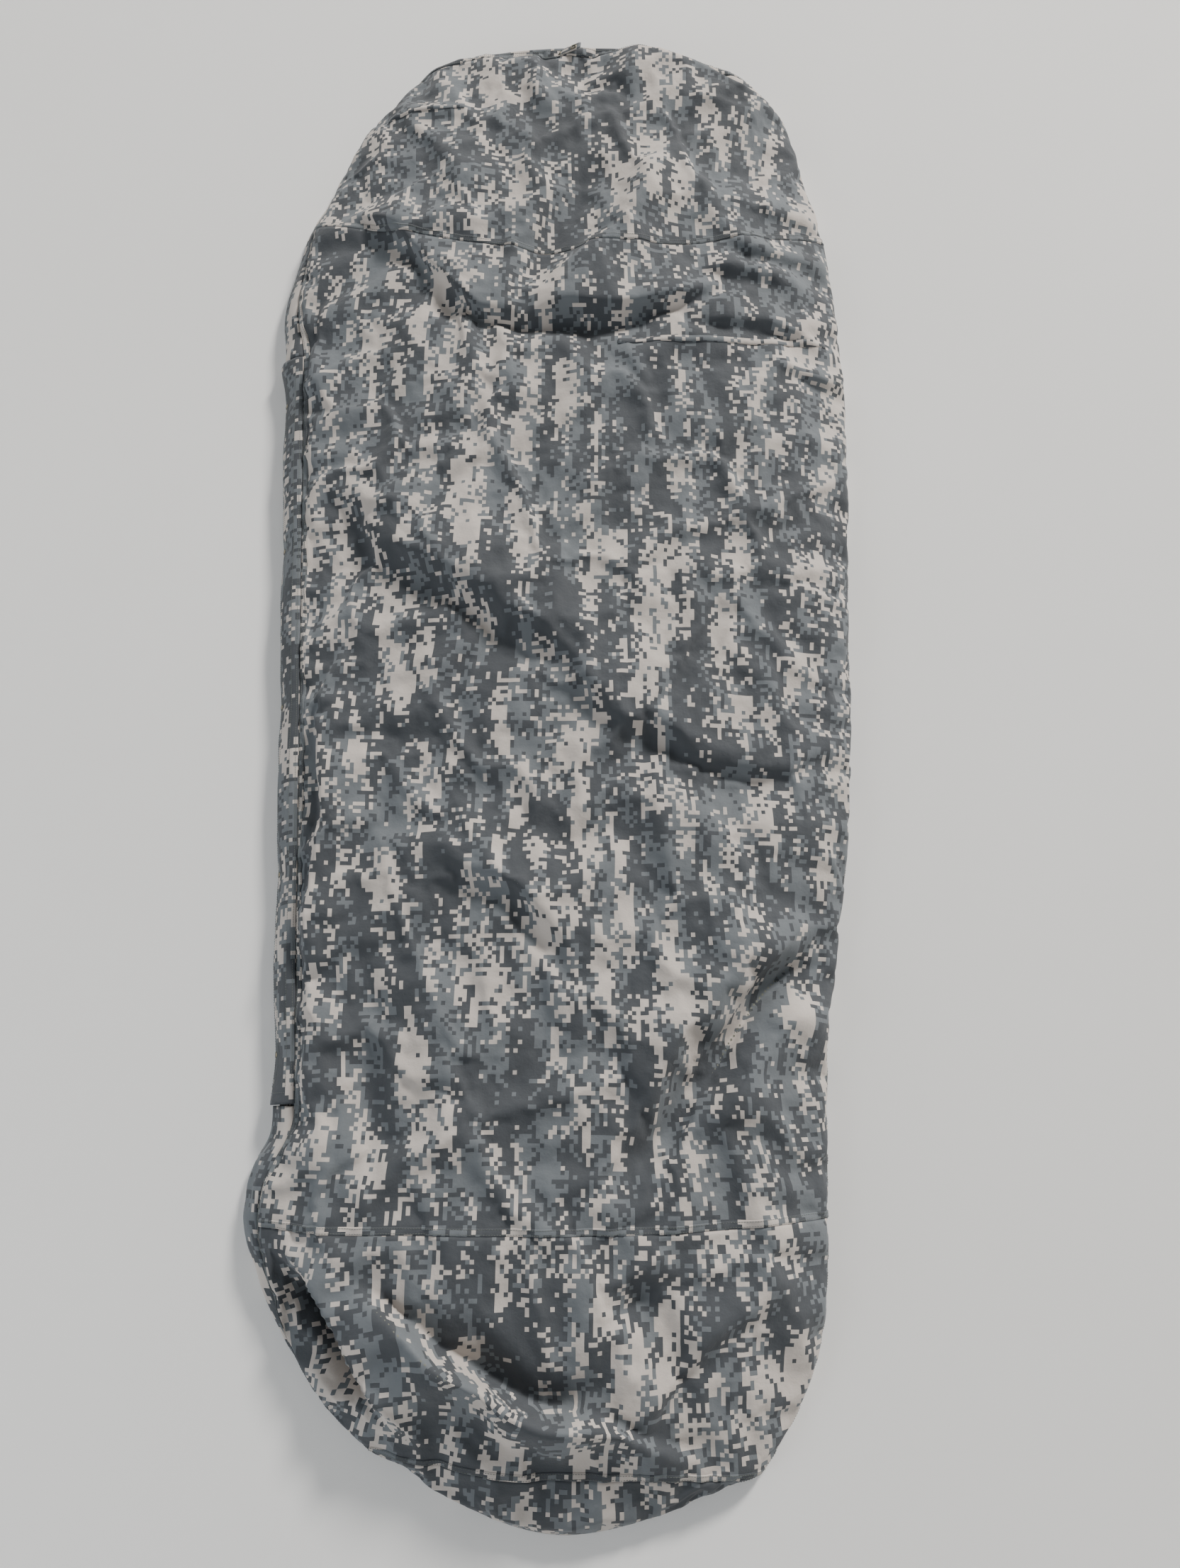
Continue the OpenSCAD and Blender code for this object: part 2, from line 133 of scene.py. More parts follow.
def unit(v):
    """The same directions, each with a length of 1."""
    return v / np.maximum(np.linalg.norm(v, axis=-1, keepdims=True), 1e-9)


def arc_length(path):
    """The distance along the path to each of its points."""
    steps = np.linalg.norm(np.diff(path, axis=0), axis=-1)
    return np.concatenate([[0], np.cumsum(steps)])


def even_spacing(path, count):
    """The path again, as count points at equal distances."""
    length = arc_length(path)
    at = np.linspace(0, length[-1], count)
    return np.stack([np.interp(at, length, path[:, k]) for k in range(path.shape[1])], -1)


def noise(x, y, seed):
    """Smooth noise from -1 to 1, with one random value at each whole number."""
    table = np.random.default_rng(seed).uniform(-1, 1, (128, 128))
    x, y = np.broadcast_arrays(x, y)
    i, j = np.floor(x).astype(int), np.floor(y).astype(int)
    a, b = ease(x - i), ease(y - j)
    near = table[i % 128, j % 128] * (1 - a) + table[(i + 1) % 128, j % 128] * a
    far = table[i % 128, (j + 1) % 128] * (1 - a) + table[(i + 1) % 128, (j + 1) % 128] * a
    return near * (1 - b) + far * b


# ---------------- meshes


def grid_normals(grid):
    """The direction out of the sheet at each point."""
    return unit(np.cross(np.gradient(grid, axis=1), np.gradient(grid, axis=0)))


def grid_faces(rows, columns, flip=False):
    """The quads between a grid's points. flip turns them round, for an inner face."""
    i = np.arange(rows * columns).reshape(rows, columns)
    faces = np.stack([i[:-1, :-1], i[:-1, 1:], i[1:, 1:], i[1:, :-1]], -1).reshape(-1, 4)
    return faces[:, ::-1] if flip else faces


class Solid:
    """Collects points, faces, fabric coordinates and a material number for each face."""

    def __init__(self):
        self.points, self.faces, self.fabric, self.slots = [], [], [], []
        self.count = 0

    def add(self, points, faces, fabric=None, slot=0):
        points = np.asarray(points, float).reshape(-1, 3)
        faces = [np.asarray(f) + self.count for f in faces]
        self.points.append(points)
        self.faces.extend(faces)
        self.fabric.append(points if fabric is None else np.asarray(fabric, float).reshape(-1, 3))
        self.slots.extend([slot] * len(faces))
        self.count += len(points)
        return self

    def sheet(self, grid, fabric, thickness, inner_slot=0):
        """A grid as a closed sheet. The grid is its outer face."""
        rows, columns = grid.shape[:2]
        inner = grid - grid_normals(grid) * thickness
        self.add(grid, grid_faces(rows, columns), fabric)
        self.add(inner, grid_faces(rows, columns, flip=True), fabric, inner_slot)
        i = np.arange(rows * columns).reshape(rows, columns) + self.count - 2 * rows * columns
        rim = np.concatenate([i[0, :], i[1:, -1], i[-1, -2::-1], i[-2:0:-1, 0]])
        after = np.roll(rim, -1)
        under = rows * columns
        rim_faces = np.stack([rim, rim + under, after + under, after], -1)
        self.faces.extend(rim_faces)
        self.slots.extend([0] * len(rim_faces))
        return self

    def make(self, name, *materials):
        """The collected mesh as a piece in the scene."""
        mesh = bpy.data.meshes.new(name)
        mesh.from_pydata(np.concatenate(self.points).tolist(), [], [f.tolist() for f in self.faces])
        mesh.polygons.foreach_set("material_index", self.slots)
        mesh.polygons.foreach_set("use_smooth", [True] * len(mesh.polygons))
        attribute = mesh.attributes.new("fabric", "FLOAT_VECTOR", "POINT")
        attribute.data.foreach_set("vector", np.concatenate(self.fabric).astype(np.float32).ravel())
        for material in materials:
            mesh.materials.append(material)
        piece = bpy.data.objects.new(name, mesh)
        bpy.context.scene.collection.objects.link(piece)
        return piece


def sweep(solid, path, normals, section):
    """Runs a closed cross-section, (sideways, outward) points, along a path."""
    tangent = unit(np.gradient(path, axis=0))
    side = unit(np.cross(tangent, normals))
    outward = unit(np.cross(side, tangent))
    rings = path[:, None] + section[None, :, :1] * side[:, None] + section[None, :, 1:] * outward[:, None]
    rows, columns = rings.shape[:2]
    i = np.arange(rows * columns).reshape(rows, columns)
    j = np.roll(i, -1, axis=1)
    faces = list(np.stack([i[:-1], j[:-1], j[1:], i[1:]], -1).reshape(-1, 4))
    return solid.add(rings, faces + [i[0, ::-1], i[-1]])


def oval(half_width, half_height, sides):
    """A cross-section for sweep."""
    a = np.arange(sides) * 2 * math.pi / sides
    return np.stack([half_width * np.cos(a), half_height * np.sin(a)], -1)


def lathe(solid, outline, centre, axis, sides=28):
    """Turns an outline of (radius, height) points round an axis."""
    axis = unit(np.array(axis, float))
    side = unit(np.cross(axis, [0.3, 0.9, 0.2]))
    other = np.cross(axis, side)
    a = (np.arange(sides) * 2 * math.pi / sides)[None, :, None]
    r, h = np.array(outline, float).T
    ring = np.cos(a) * side + np.sin(a) * other
    rings = np.array(centre) + r[:, None, None] * ring + h[:, None, None] * axis
    i = np.arange(len(r) * sides).reshape(len(r), sides)
    j = np.roll(i, -1, axis=1)
    faces = list(np.stack([i[:-1], i[1:], j[1:], j[:-1]], -1).reshape(-1, 4))
    return solid.add(rings, faces)


STITCH_PITCH, STITCH_LENGTH, THREAD = 0.0034, 0.0026, 0.00034
STITCH_RINGS, STITCH_SIDES = 3, 5


def stitches(solid, path, normals):
    """A row of lockstitches on a path: each is a short thread whose ends dive into the cloth."""
    length = arc_length(path)
    count = max(int(length[-1] / STITCH_PITCH), 1)
    middle = (np.arange(count) + 0.5) * length[-1] / count
    at = middle[:, None] + np.array([-0.5, 0, 0.5]) * STITCH_LENGTH
    p = np.stack([np.interp(at, length, path[:, k]) for k in range(3)], -1)
    up = unit(np.stack([np.interp(at, length, normals[:, k]) for k in range(3)], -1))
    tangent = unit(p[:, 2:] - p[:, :1])
    side = unit(np.cross(tangent, up))
    lift = np.array([-0.3, 0.7, -0.3])[None, :, None] * THREAD
    swell = np.array([0.6, 1, 0.6])[None, :, None, None] * THREAD
    a = np.arange(STITCH_SIDES) * 2 * math.pi / STITCH_SIDES
    ring = np.cos(a)[:, None] * side[:, :, None] + np.sin(a)[:, None] * up[:, :, None]
    rings = (p + up * lift)[:, :, None] + ring * swell
    i = np.arange(count * STITCH_RINGS * STITCH_SIDES).reshape(count, STITCH_RINGS, STITCH_SIDES)
    j = np.roll(i, -1, axis=2)
    faces = list(np.stack([i[:, :-1], j[:, :-1], j[:, 1:], i[:, 1:]], -1).reshape(-1, 4))
    faces += list(i[:, 0, ::-1]) + list(i[:, 2])
    return solid.add(rings, faces)


def stitch_row(thread, grid, normals, at, lift, span=slice(None)):
    """Stitches along a grid, at a fractional row number and lifted a little off its face."""
    up = cubic(normals, [at])[0][span]
    stitches(thread, cubic(grid, [at])[0][span] + up * lift, up)


def stitch_border(thread, grid, up):
    """Stitches round a patch, one step in from its edge."""
    border = np.concatenate([grid[1, 1:-1], grid[1:-1, -2], grid[-2, -2:0:-1], grid[-2:0:-1, 1]])
    stitches(thread, border, np.tile(up, (len(border), 1)))


# ---------------- materials


class Nodes:
    """A material's node tree, with short ways to add and link nodes."""

    def __init__(self, name, **sockets):
        self.material = bpy.data.materials.new(name)
        self.material.use_nodes = True
        self.tree = self.material.node_tree
        self.surface = self.tree.nodes["Principled BSDF"]
        for socket, value in sockets.items():
            self.put(self.surface, socket.replace("_", " ").title().replace("Ior", "IOR"), value)

    def connect(self, value, target):
        """Links a value that comes from another node, and sets one that is a plain number or colour."""
        if isinstance(value, bpy.types.NodeSocket):
            self.tree.links.new(value, target)
        else:
            target.default_value = value

    def put(self, node, socket, value):
        self.connect(value, node.inputs[socket])

    def add(self, kind, inputs=(), out=0, **settings):
        """Adds a node, and gives its output number out."""
        node = self.tree.nodes.new("ShaderNode" + kind)
        for setting, value in settings.items():
            setattr(node, setting, value)
        for socket, value in dict(inputs).items():
            self.put(node, socket, value)
        return node.outputs[out]

    def math(self, operation, *values):
        return self.add("Math", dict(enumerate(values)), operation=operation)

    def vector(self, operation, a, b=(0, 0, 0)):
        return self.add("VectorMath", {0: a, 1: b}, operation=operation)

    def mix(self, factor, a, b):
        """Colour a where the factor is 0, colour b where it is 1."""
        node = self.tree.nodes.new("ShaderNodeMix")
        node.data_type = "RGBA"
        sockets = {s.identifier: s for s in [*node.inputs, *node.outputs]}
        for name, value in (("Factor_Float", factor), ("A_Color", a), ("B_Color", b)):
            self.connect(value, sockets[name])
        return sockets["Result_Color"]

    def noise(self, vector, scale, detail=2.0, roughness=0.5):
        sockets = {"Vector": vector, "Scale": scale, "Detail": detail, "Roughness": roughness}
        return self.add("TexNoise", sockets)

    def ramp(self, value, low, high, start=0.0, end=1.0):
        """Maps low to start and high to end, and stays between these."""
        sockets = {"Value": value, "From Min": low, "From Max": high, "To Min": start, "To Max": end}
        return self.add("MapRange", sockets)

    def bump(self, height, distance, strength=1.0, normal=None):
        sockets = {"Height": height, "Distance": distance, "Strength": strength}
        if normal is not None:
            sockets["Normal"] = normal
        return self.add("Bump", sockets)

    def on_fabric(self):
        """Coordinates in metres on the cloth laid flat."""
        return self.add("Attribute", attribute_name="fabric", out=1)

    def in_object(self):
        """Coordinates in metres in the piece's own frame."""
        return self.add("TexCoord", out=3)

    def finish(self, colour=None, roughness=None, normal=None):
        for socket, value in (("Base Color", colour), ("Roughness", roughness), ("Normal", normal)):
            if value is not None:
                self.put(self.surface, socket, value)
        return self.material


def srgb(red, green, blue):
    """A colour given as it looks on a screen, from 0 to 255."""
    return tuple(((c / 255 + 0.055) / 1.055) ** 2.4 for c in (red, green, blue)) + (1.0,)


BLOB_STRETCH = 0.32  # the print's blobs are longer along Y than across
SAND, STONE, SLATE = srgb(207, 199, 192), srgb(114, 120, 125), srgb(78, 82, 87)


def weave(n, place, pitch):
    """The up and down of a plain weave, from -1 to 1."""
    turns = n.vector("SCALE", place)
    turns.node.inputs["Scale"].default_value = 2 * math.pi / pitch
    parts = n.add("SeparateXYZ", {0: turns})
    across, along = parts.node.outputs[0], parts.node.outputs[1]
    return n.math("MULTIPLY", n.math("SINE", across), n.math("SINE", along))


def camouflage(name, shift):
    """Printed nylon: a digital print of square cells, a fine weave, soft crinkles and faded patches."""
    n = Nodes(name, roughness=0.78, sheen_weight=0.12, sheen_roughness=0.5)
    n.put(n.surface, "Specular IOR Level", 0.3)
    place = n.vector("ADD", n.on_fabric(), shift)
    cells = n.vector("FLOOR", n.vector("MULTIPLY", place, (1 / CELL, 1 / CELL, 0)))
    speck = n.math("SUBTRACT", n.add("TexWhiteNoise", {"Vector": cells}), 0.5)

    def blobs(offset, size, level):
        """Where long blobs lie: a broad noise, a fine one that makes them ragged, and single specks."""
        broad = n.vector("ADD", n.vector("MULTIPLY", cells, (size, size * BLOB_STRETCH, 0)), offset)
        fine = n.vector("ADD", n.vector("MULTIPLY", cells, (0.50, 0.72, 0)), offset)
        ragged = n.math("MULTIPLY", n.noise(fine, 1.0, 2.0, 0.7), 0.62)
        total = n.math("ADD", n.noise(broad, 1.0, 2.0, 0.55), ragged)
        return n.math("GREATER_THAN", n.math("ADD", total, n.math("MULTIPLY", speck, 0.15)), level)

    is_sand = blobs((7.3, 1.9, 0.5), 0.185, 0.876)
    is_slate = blobs((31.7, 12.4, 3.5), 0.165, 0.776)
    print_colour = n.mix(is_sand, n.mix(is_slate, STONE, SLATE), SAND)
    faded = n.ramp(n.noise(place, 9.0, 3.0), 0.3, 0.7, 0.90, 1.06)
    worn = n.vector("SCALE", print_colour)
    n.put(worn.node, "Scale", faded)
    crinkle = n.noise(place, 70.0, 3.0, 0.6)
    normal = n.bump(crinkle, 0.0018, 0.75)
    normal = n.bump(weave(n, place, 0.0011), 0.00006, 1.0, normal)
    return n.finish(worn, n.ramp(crinkle, 0.3, 0.7, 0.74, 0.86), normal)


def coated_lining():
    """The proofed inner face: plain grey green with a fine grid and a low gloss."""
    n = Nodes("coated_lining", roughness=0.5)
    place = n.on_fabric()
    tone = n.mix(n.noise(place, 14.0, 4.0), srgb(104, 108, 96), srgb(132, 134, 120))
    normal = n.bump(weave(n, place, 0.0016), 0.00008, 1.0, n.bump(n.noise(place, 60.0, 3.0), 0.001, 0.5))
    return n.finish(tone, n.ramp(n.noise(place, 40.0), 0.3, 0.7, 0.42, 0.6), normal)


def woven_tape(name, dark, light, pitch, gloss=0.7):
    """Narrow woven goods: zip tape, webbing or a label, with a slanted rib."""
    n = Nodes(name, roughness=gloss)
    place = n.on_fabric()
    slanted = n.add("Mapping", {"Vector": place, "Rotation": (0, 0, math.radians(35))})
    rib = n.math("ADD", weave(n, slanted, pitch), n.math("MULTIPLY", weave(n, place, pitch / 2), 0.5))
    soil = n.noise(place, 35.0, 4.0, 0.6)
    tone = n.mix(n.ramp(rib, -1.0, 1.0), dark, light)
    tone = n.mix(n.ramp(soil, 0.45, 0.75, 0.0, 0.35), tone, dark)
    return n.finish(tone, n.ramp(soil, 0.3, 0.7, gloss - 0.08, gloss + 0.1), n.bump(rib, 0.00018, 0.8))


def thread_material():
    """Twisted polyester thread."""
    n = Nodes("thread", roughness=0.62, sheen_weight=0.1)
    place = n.in_object()
    twist = n.add("TexWave", {"Vector": place, "Scale": 900.0, "Distortion": 0.4}, out=1)
    tone = n.mix(n.noise(place, 60.0, 3.0), srgb(92, 100, 98), srgb(126, 132, 126))
    return n.finish(tone, None, n.bump(twist, 0.00008, 0.7))


def sealing_tape():
    """Heat-sealed seam tape: pale, thin, with small creases and a soft gloss."""
    n = Nodes("sealing_tape", roughness=0.35)
    place = n.on_fabric()
    creases = n.noise(place, 120.0, 4.0, 0.65)
    tone = n.mix(creases, srgb(150, 152, 144), srgb(186, 186, 176))
    return n.finish(tone, n.ramp(creases, 0.3, 0.7, 0.28, 0.48), n.bump(creases, 0.0004, 0.7))


def lacquered_metal(name, lacquer, bare, wear):
    """Lacquered brass or steel, rubbed through at the edges and in small chips."""
    n = Nodes(name, metallic=0.85, roughness=0.4)
    place = n.in_object()
    edge = n.ramp(n.add("NewGeometry", out=7), 0.52, 0.60)
    chips = n.ramp(n.noise(place, 700.0, 5.0, 0.65), 0.60, 0.68)
    rubbed = n.math("MULTIPLY", n.math("MAXIMUM", edge, chips), wear)
    scratches = n.noise(place, 2400.0, 2.0)
    tone = n.mix(rubbed, n.mix(scratches, lacquer, tuple(c * 1.5 for c in lacquer)), bare)
    return n.finish(tone, n.ramp(rubbed, 0.0, 1.0, 0.46, 0.26), n.bump(scratches, 0.00003, 0.5))


def coil_nylon():
    """The zip's nylon coil: dark, smooth, with slight changes of tone along it."""
    n = Nodes("coil_nylon", roughness=0.34)
    place = n.in_object()
    tone = n.mix(n.noise(place, 300.0, 3.0), srgb(52, 56, 54), srgb(82, 86, 82))
    return n.finish(tone, n.ramp(n.noise(place, 900.0), 0.3, 0.7, 0.28, 0.42))


def pile(name, dark, light, scale):
    """The face of hook or loop tape."""
    n = Nodes(name, roughness=0.85, sheen_weight=0.2)
    place = n.in_object()
    tufts = n.add("TexVoronoi", {"Vector": place, "Scale": scale}, out=0)
    tone = n.mix(n.ramp(tufts, 0.0, 0.8), dark, light)
    return n.finish(tone, None, n.bump(n.math("ADD", tufts, n.noise(place, scale * 3, 3.0)), 0.0006, 1.0))


CAMO_TOP = camouflage("camouflage_top", (0.0, 0.0, 0.0))
CAMO_FLAP = camouflage("camouflage_flap", (4.1, 2.3, 0.0))
CAMO_FLOOR = camouflage("camouflage_floor", (9.7, 5.9, 0.0))
LINING = coated_lining()
SEAL = sealing_tape()
THREADS = thread_material()
ZIP_TAPE = woven_tape("zip_tape_weave", srgb(70, 76, 74), srgb(104, 110, 106), 0.0012)
WEBBING = woven_tape("webbing_weave", srgb(84, 88, 80), srgb(124, 126, 114), 0.0022)
LABEL = woven_tape("label_weave", srgb(178, 178, 166), srgb(206, 206, 196), 0.0009, 0.6)
COIL = coil_nylon()
SLIDER = lacquered_metal("slider_lacquer", srgb(44, 46, 44), srgb(170, 160, 140), 0.8)
SNAP = lacquered_metal("snap_lacquer", srgb(58, 62, 58), srgb(184, 172, 148), 0.7)
HOOK = pile("hook_face", srgb(60, 64, 60), srgb(110, 114, 108), 1400.0)
LOOP = pile("loop_face", srgb(78, 82, 76), srgb(132, 134, 124), 900.0)

# ---------------- the shape of the top

# Each value follows the row's middle, from the foot edge to the lip of the floor.
left_x = profile(
    (FOOT_EDGE, -0.185), (FOOT_SEAM, -0.232), (-0.96, -0.292), (-0.89, -0.341), (-0.82, -0.381),
    (-0.75, -0.405), (-0.68, -0.402), (-0.62, -0.395), (-0.54, -0.385), (-0.46, -0.380), (0.40, -0.425),
    (0.50, -0.438), (0.56, -0.437), (0.60, -0.428), (HOOD_SEAM, -0.413), (0.70, -0.393), (0.80, -0.362),
    (0.90, -0.328), (0.98, -0.284), (MOUTH, -0.232), (1.08, -0.187), (LIP, -0.110),
)  # fmt: skip
right_x = profile(
    (FOOT_EDGE, 0.200), (FOOT_SEAM, 0.245), (-0.96, 0.292), (-0.89, 0.322), (-0.82, 0.334), (-0.75, 0.338),
    (-0.63, 0.344), (-0.50, 0.352), (-0.40, 0.366), (-0.26, 0.388), (-0.06, 0.404), (0.16, 0.413),
    (0.39, 0.420), (0.58, 0.410), (0.70, 0.394), (0.80, 0.376), (0.90, 0.354), (0.98, 0.328),
    (MOUTH, 0.280), (1.08, 0.245), (LIP, 0.190),
)  # fmt: skip
left_rise = profile(
    (FOOT_EDGE, 0.072), (FOOT_SEAM, 0.025), (-0.96, 0.006), (-0.89, 0.002), (-0.75, 0.008), (-0.60, 0.0),
    (0.40, 0.0), (0.50, 0.012), (HOOD_SEAM, 0.080), (0.75, 0.062), (0.85, 0.030), (0.95, 0.004),
    (MOUTH, -0.014), (LIP, -0.014),
)  # fmt: skip
right_rise = profile(
    (FOOT_EDGE, 0.056), (FOOT_SEAM, 0.0), (-0.96, 0.0), (-0.89, 0.002), (-0.75, 0.016), (-0.60, 0.0),
    (0.40, 0.0), (0.50, 0.010), (HOOD_SEAM, 0.062), (0.75, 0.048), (0.85, 0.026), (0.95, 0.004),
    (MOUTH, -0.020), (LIP, -0.020),
)  # fmt: skip
crown = profile(
    (FOOT_EDGE, 0.0), (-1.08, 0.024), (FOOT_SEAM, 0.046), (-0.96, 0.064), (-0.85, 0.077), (-0.72, 0.081),
    (-0.50, 0.083), (-0.20, 0.084), (0.10, 0.085), (0.40, 0.088), (0.60, 0.089), (0.75, 0.088),
    (0.88, 0.083), (0.97, 0.075), (MOUTH, 0.062),
)  # fmt: skip


def strip_height(y):
    """Height of the seam between top and side strip: full beside the zip, nothing near the ends."""
    away = np.maximum(past_wall(y) - 0.01, 0)
    return EDGE_Z + (STRIP_RISE + 0.002 - EDGE_Z) * (1 - ease(away / 0.42))


def left_foot(middle):
    """The left end of a row on the floor: x and y."""
    y = middle + left_rise(middle)
    beside_zip = WALL_FOOT[0] + (y - WALL_FOOT[1]) * ALONG[0] / ALONG[1]
    near = 1 - ease(past_wall(y) / 0.10)
    return left_x(middle) * (1 - near) + beside_zip * near, y


def row_bend(middle, way):
    """A row's places along Y. way runs from -1 at its left end to 1 at its right end."""
    rise = np.where(way < 0, left_rise(middle), right_rise(middle))
    return middle + rise * np.abs(way) ** BEND_POWER


def row_arch(middle):
    """One row of the top, from its seam on the left over the crown to the floor seam on the right."""
    foot, left_y = left_foot(middle)
    right = right_x(middle)
    height = max(float(crown(middle)), 0.0005)
    seam_z = strip_height(left_y)
    seam_x = foot + (seam_z - EDGE_Z + 0.002 * ease((seam_z - EDGE_Z) / 0.01)) / math.tan(LEAN)
    share = np.clip((seam_z - EDGE_Z) / height, 0, 0.9)
    start = math.asin(share ** (1 / ARCH_POWER))
    centre = (foot + right) / 2
    angle = np.linspace(start, math.pi, 240)
    way = -np.cos(angle)
    x = np.where(way < 0, centre + (centre - seam_x) / math.cos(start) * way, centre + (right - centre) * way)
    z = EDGE_Z + height * np.clip(np.sin(angle), 0, 1) ** ARCH_POWER
    # The right side bulges out a little over its seam.
    x = x + 0.007 * np.exp(-(((z - 0.03) / 0.02) ** 2)) * (way > 0.5) * min(height / 0.08, 1)
    return even_spacing(np.stack([x, row_bend(middle, way), z], -1), COLUMNS)


def row_middles():
    """The rows' places, with a row on every seam, and the row number of each seam."""
    stops = [FOOT_EDGE, FOOT_SEAM, KNEE_SEAM, HOOD_SEAM, HEM_START, MOUTH]
    places, at = [stops[0]], [0]
    for a, b in zip(stops, stops[1:]):
        count = max(int(round((b - a) / ROW_STEP)), 2)
        places += list(np.linspace(a, b, count + 1)[1:])
        at.append(len(places) - 1)
    return np.array(places), at


FOLD_DEPTH = 1.5  # deepens or softens every fold at once
HIGHEST = 0.131
CEILING_DEPTH = 0.014  # how far below the highest point the cloth begins to be pressed down
SIMULATED_FRAMES = 16
OVERSIZE = 0.028  # how much too large the simulated cloth is
HOLD = 0.15  # how firmly springs hold its inner points near their shape. Its edges have 1.
LARGEST_MOVE = 0.012  # how far the simulation may move a point
CRUMPLE_DEPTH = 0.0019
PULL = 0.16  # the share of its error that a spring takes up in a round of flattening


def fold_table(text):
    """Reads folds, one to a line and in millimetres. Before the bar: the crest's height, the fold's width
    to the left and to the right, and how far the crest leans to the right. After it: its path from above.
    A line that ends with a comma goes on in the next."""
    folds = []
    for line in text.strip().replace(",\n", ",").splitlines():
        if line.strip().startswith("#"):
            continue
        numbers, points = line.split("|")
        height, left_width, right_width, lean = [int(v) / 1000 for v in numbers.split()]
        path = [tuple(int(v) / 1000 for v in point.split()) for point in points.split(",")]
        folds.append((path, height, left_width, right_width, lean))
    return folds


FOLDS = fold_table(
    """
    # Two arms of the big fold across the chest, steep on the foot side.
    14 50 12 5 | -335 735, -260 705, -190 635, -140 580, -70 545
    10 50 16 4 | -80 558, 30 566, 110 570, 170 585, 240 620
    8 30 14 4 | 190 550, 280 540, 330 537, 400 515
    -5 20 50 0 | -270 680, -190 600, -130 550, -50 525, 100 535, 240 575
    # Ridges running up into the hood.
    12 35 40 0 | -20 575, 80 665, 107 733, 190 873
    -10 30 35 0 | -60 560, -30 660, 20 760, 60 840
    7 35 45 0 | -200 660, -160 760, -170 880
    # The short puckers on the right of the chest.
    8 20 14 3 | 200 635, 290 625, 400 600
    7 20 14 3 | 240 685, 310 665, 410 655
    6 20 14 2 | 280 755, 340 745, 410 735
    6 16 10 2 | 300 475, 360 462, 420 455
    # The long diagonal roll over the middle, with its hollow towards the foot.
    11 80 32 4 | -310 330, -244 205, -178 150, -110 110, -30 60, 50 -30, 120 -95, 210 -118
    -7 25 50 0 | -330 260, -285 170, -190 95, -90 20, 0 -60
    -10 20 45 0 | 90 -60, 160 -145, 260 -170, 360 -160
    12 50 28 3 | -180 -235, -116 -282, -40 -315, 20 -385, 50 -440
    -6 40 35 0 | 40 -200, 100 -280, 130 -380
    # The crease from the right hip to the knee, between two rolls.
    -17 20 26 0 | 380 -375, 300 -430, 245 -478, 190 -550, 130 -630, 50 -735
    13 40 22 5 | 370 -445, 300 -505, 240 -580, 190 -660
    12 24 55 0 | 310 -340, 240 -410, 160 -500, 90 -610
    # Soft lengthwise rolls on the legs.
    9 30 30 0 | -330 -420, -315 -580, -320 -720
    -8 30 30 0 | -260 -360, -250 -520, -235 -720
    7 35 35 0 | -160 -400, -150 -560, -120 -730
    -6 35 35 0 | 0 -460, -30 -600, -40 -740
    6 30 35 0 | 260 -620, 250 -760, 290 -860
    # The top rolled over the seam beside the flap.
    13 45 9 4 | -305 30, -327 -56, -321 -196, -326 -300, -334 -400, -345 -470
    6 30 12 2 | -345 620, -372 500, -370 380
    # The overlap on the left of the foot: a lip over a hollow.
    8 50 10 10 | -365 -757, -316 -792, -268 -844, -224 -907, -183 -967, -150 -1005
    -22 12 26 0 | -370 -785, -325 -815, -280 -855, -240 -920, -200 -980
    -10 30 30 0 | -400 -830, -360 -870, -325 -920, -285 -970, -240 -1010
    # The sharp ridge round the toes, with a pocket above it.
    22 13 26 -6 | -270 -795, -220 -838, -160 -890, -90 -930, -20 -962, 50 -972, 110 -998, 190 -1010
    -15 28 13 0 | -150 -860, -85 -905, -20 -935, 50 -945
    -9 22 28 0 | 80 -800, 130 -880, 150 -960
    10 20 35 0 | 320 -790, 200 -850, 120 -930, 100 -1020
    6 25 25 0 | 0 -770, 30 -850, 30 -930
    # The crest of the hood on the right, dropping to the mouth.
    12 20 55 -6 | 40 1035, 130 1020, 230 980, 310 935, 365 870
    3 20 18 0 | -290 930, -220 926, -150 925
    6 18 20 0 | -60 1050, -50 970, -20 900
    -7 18 22 0 | 20 1050, 30 980, 50 930
    5 18 18 0 | 120 1050, 100 990, 100 940
    """
)

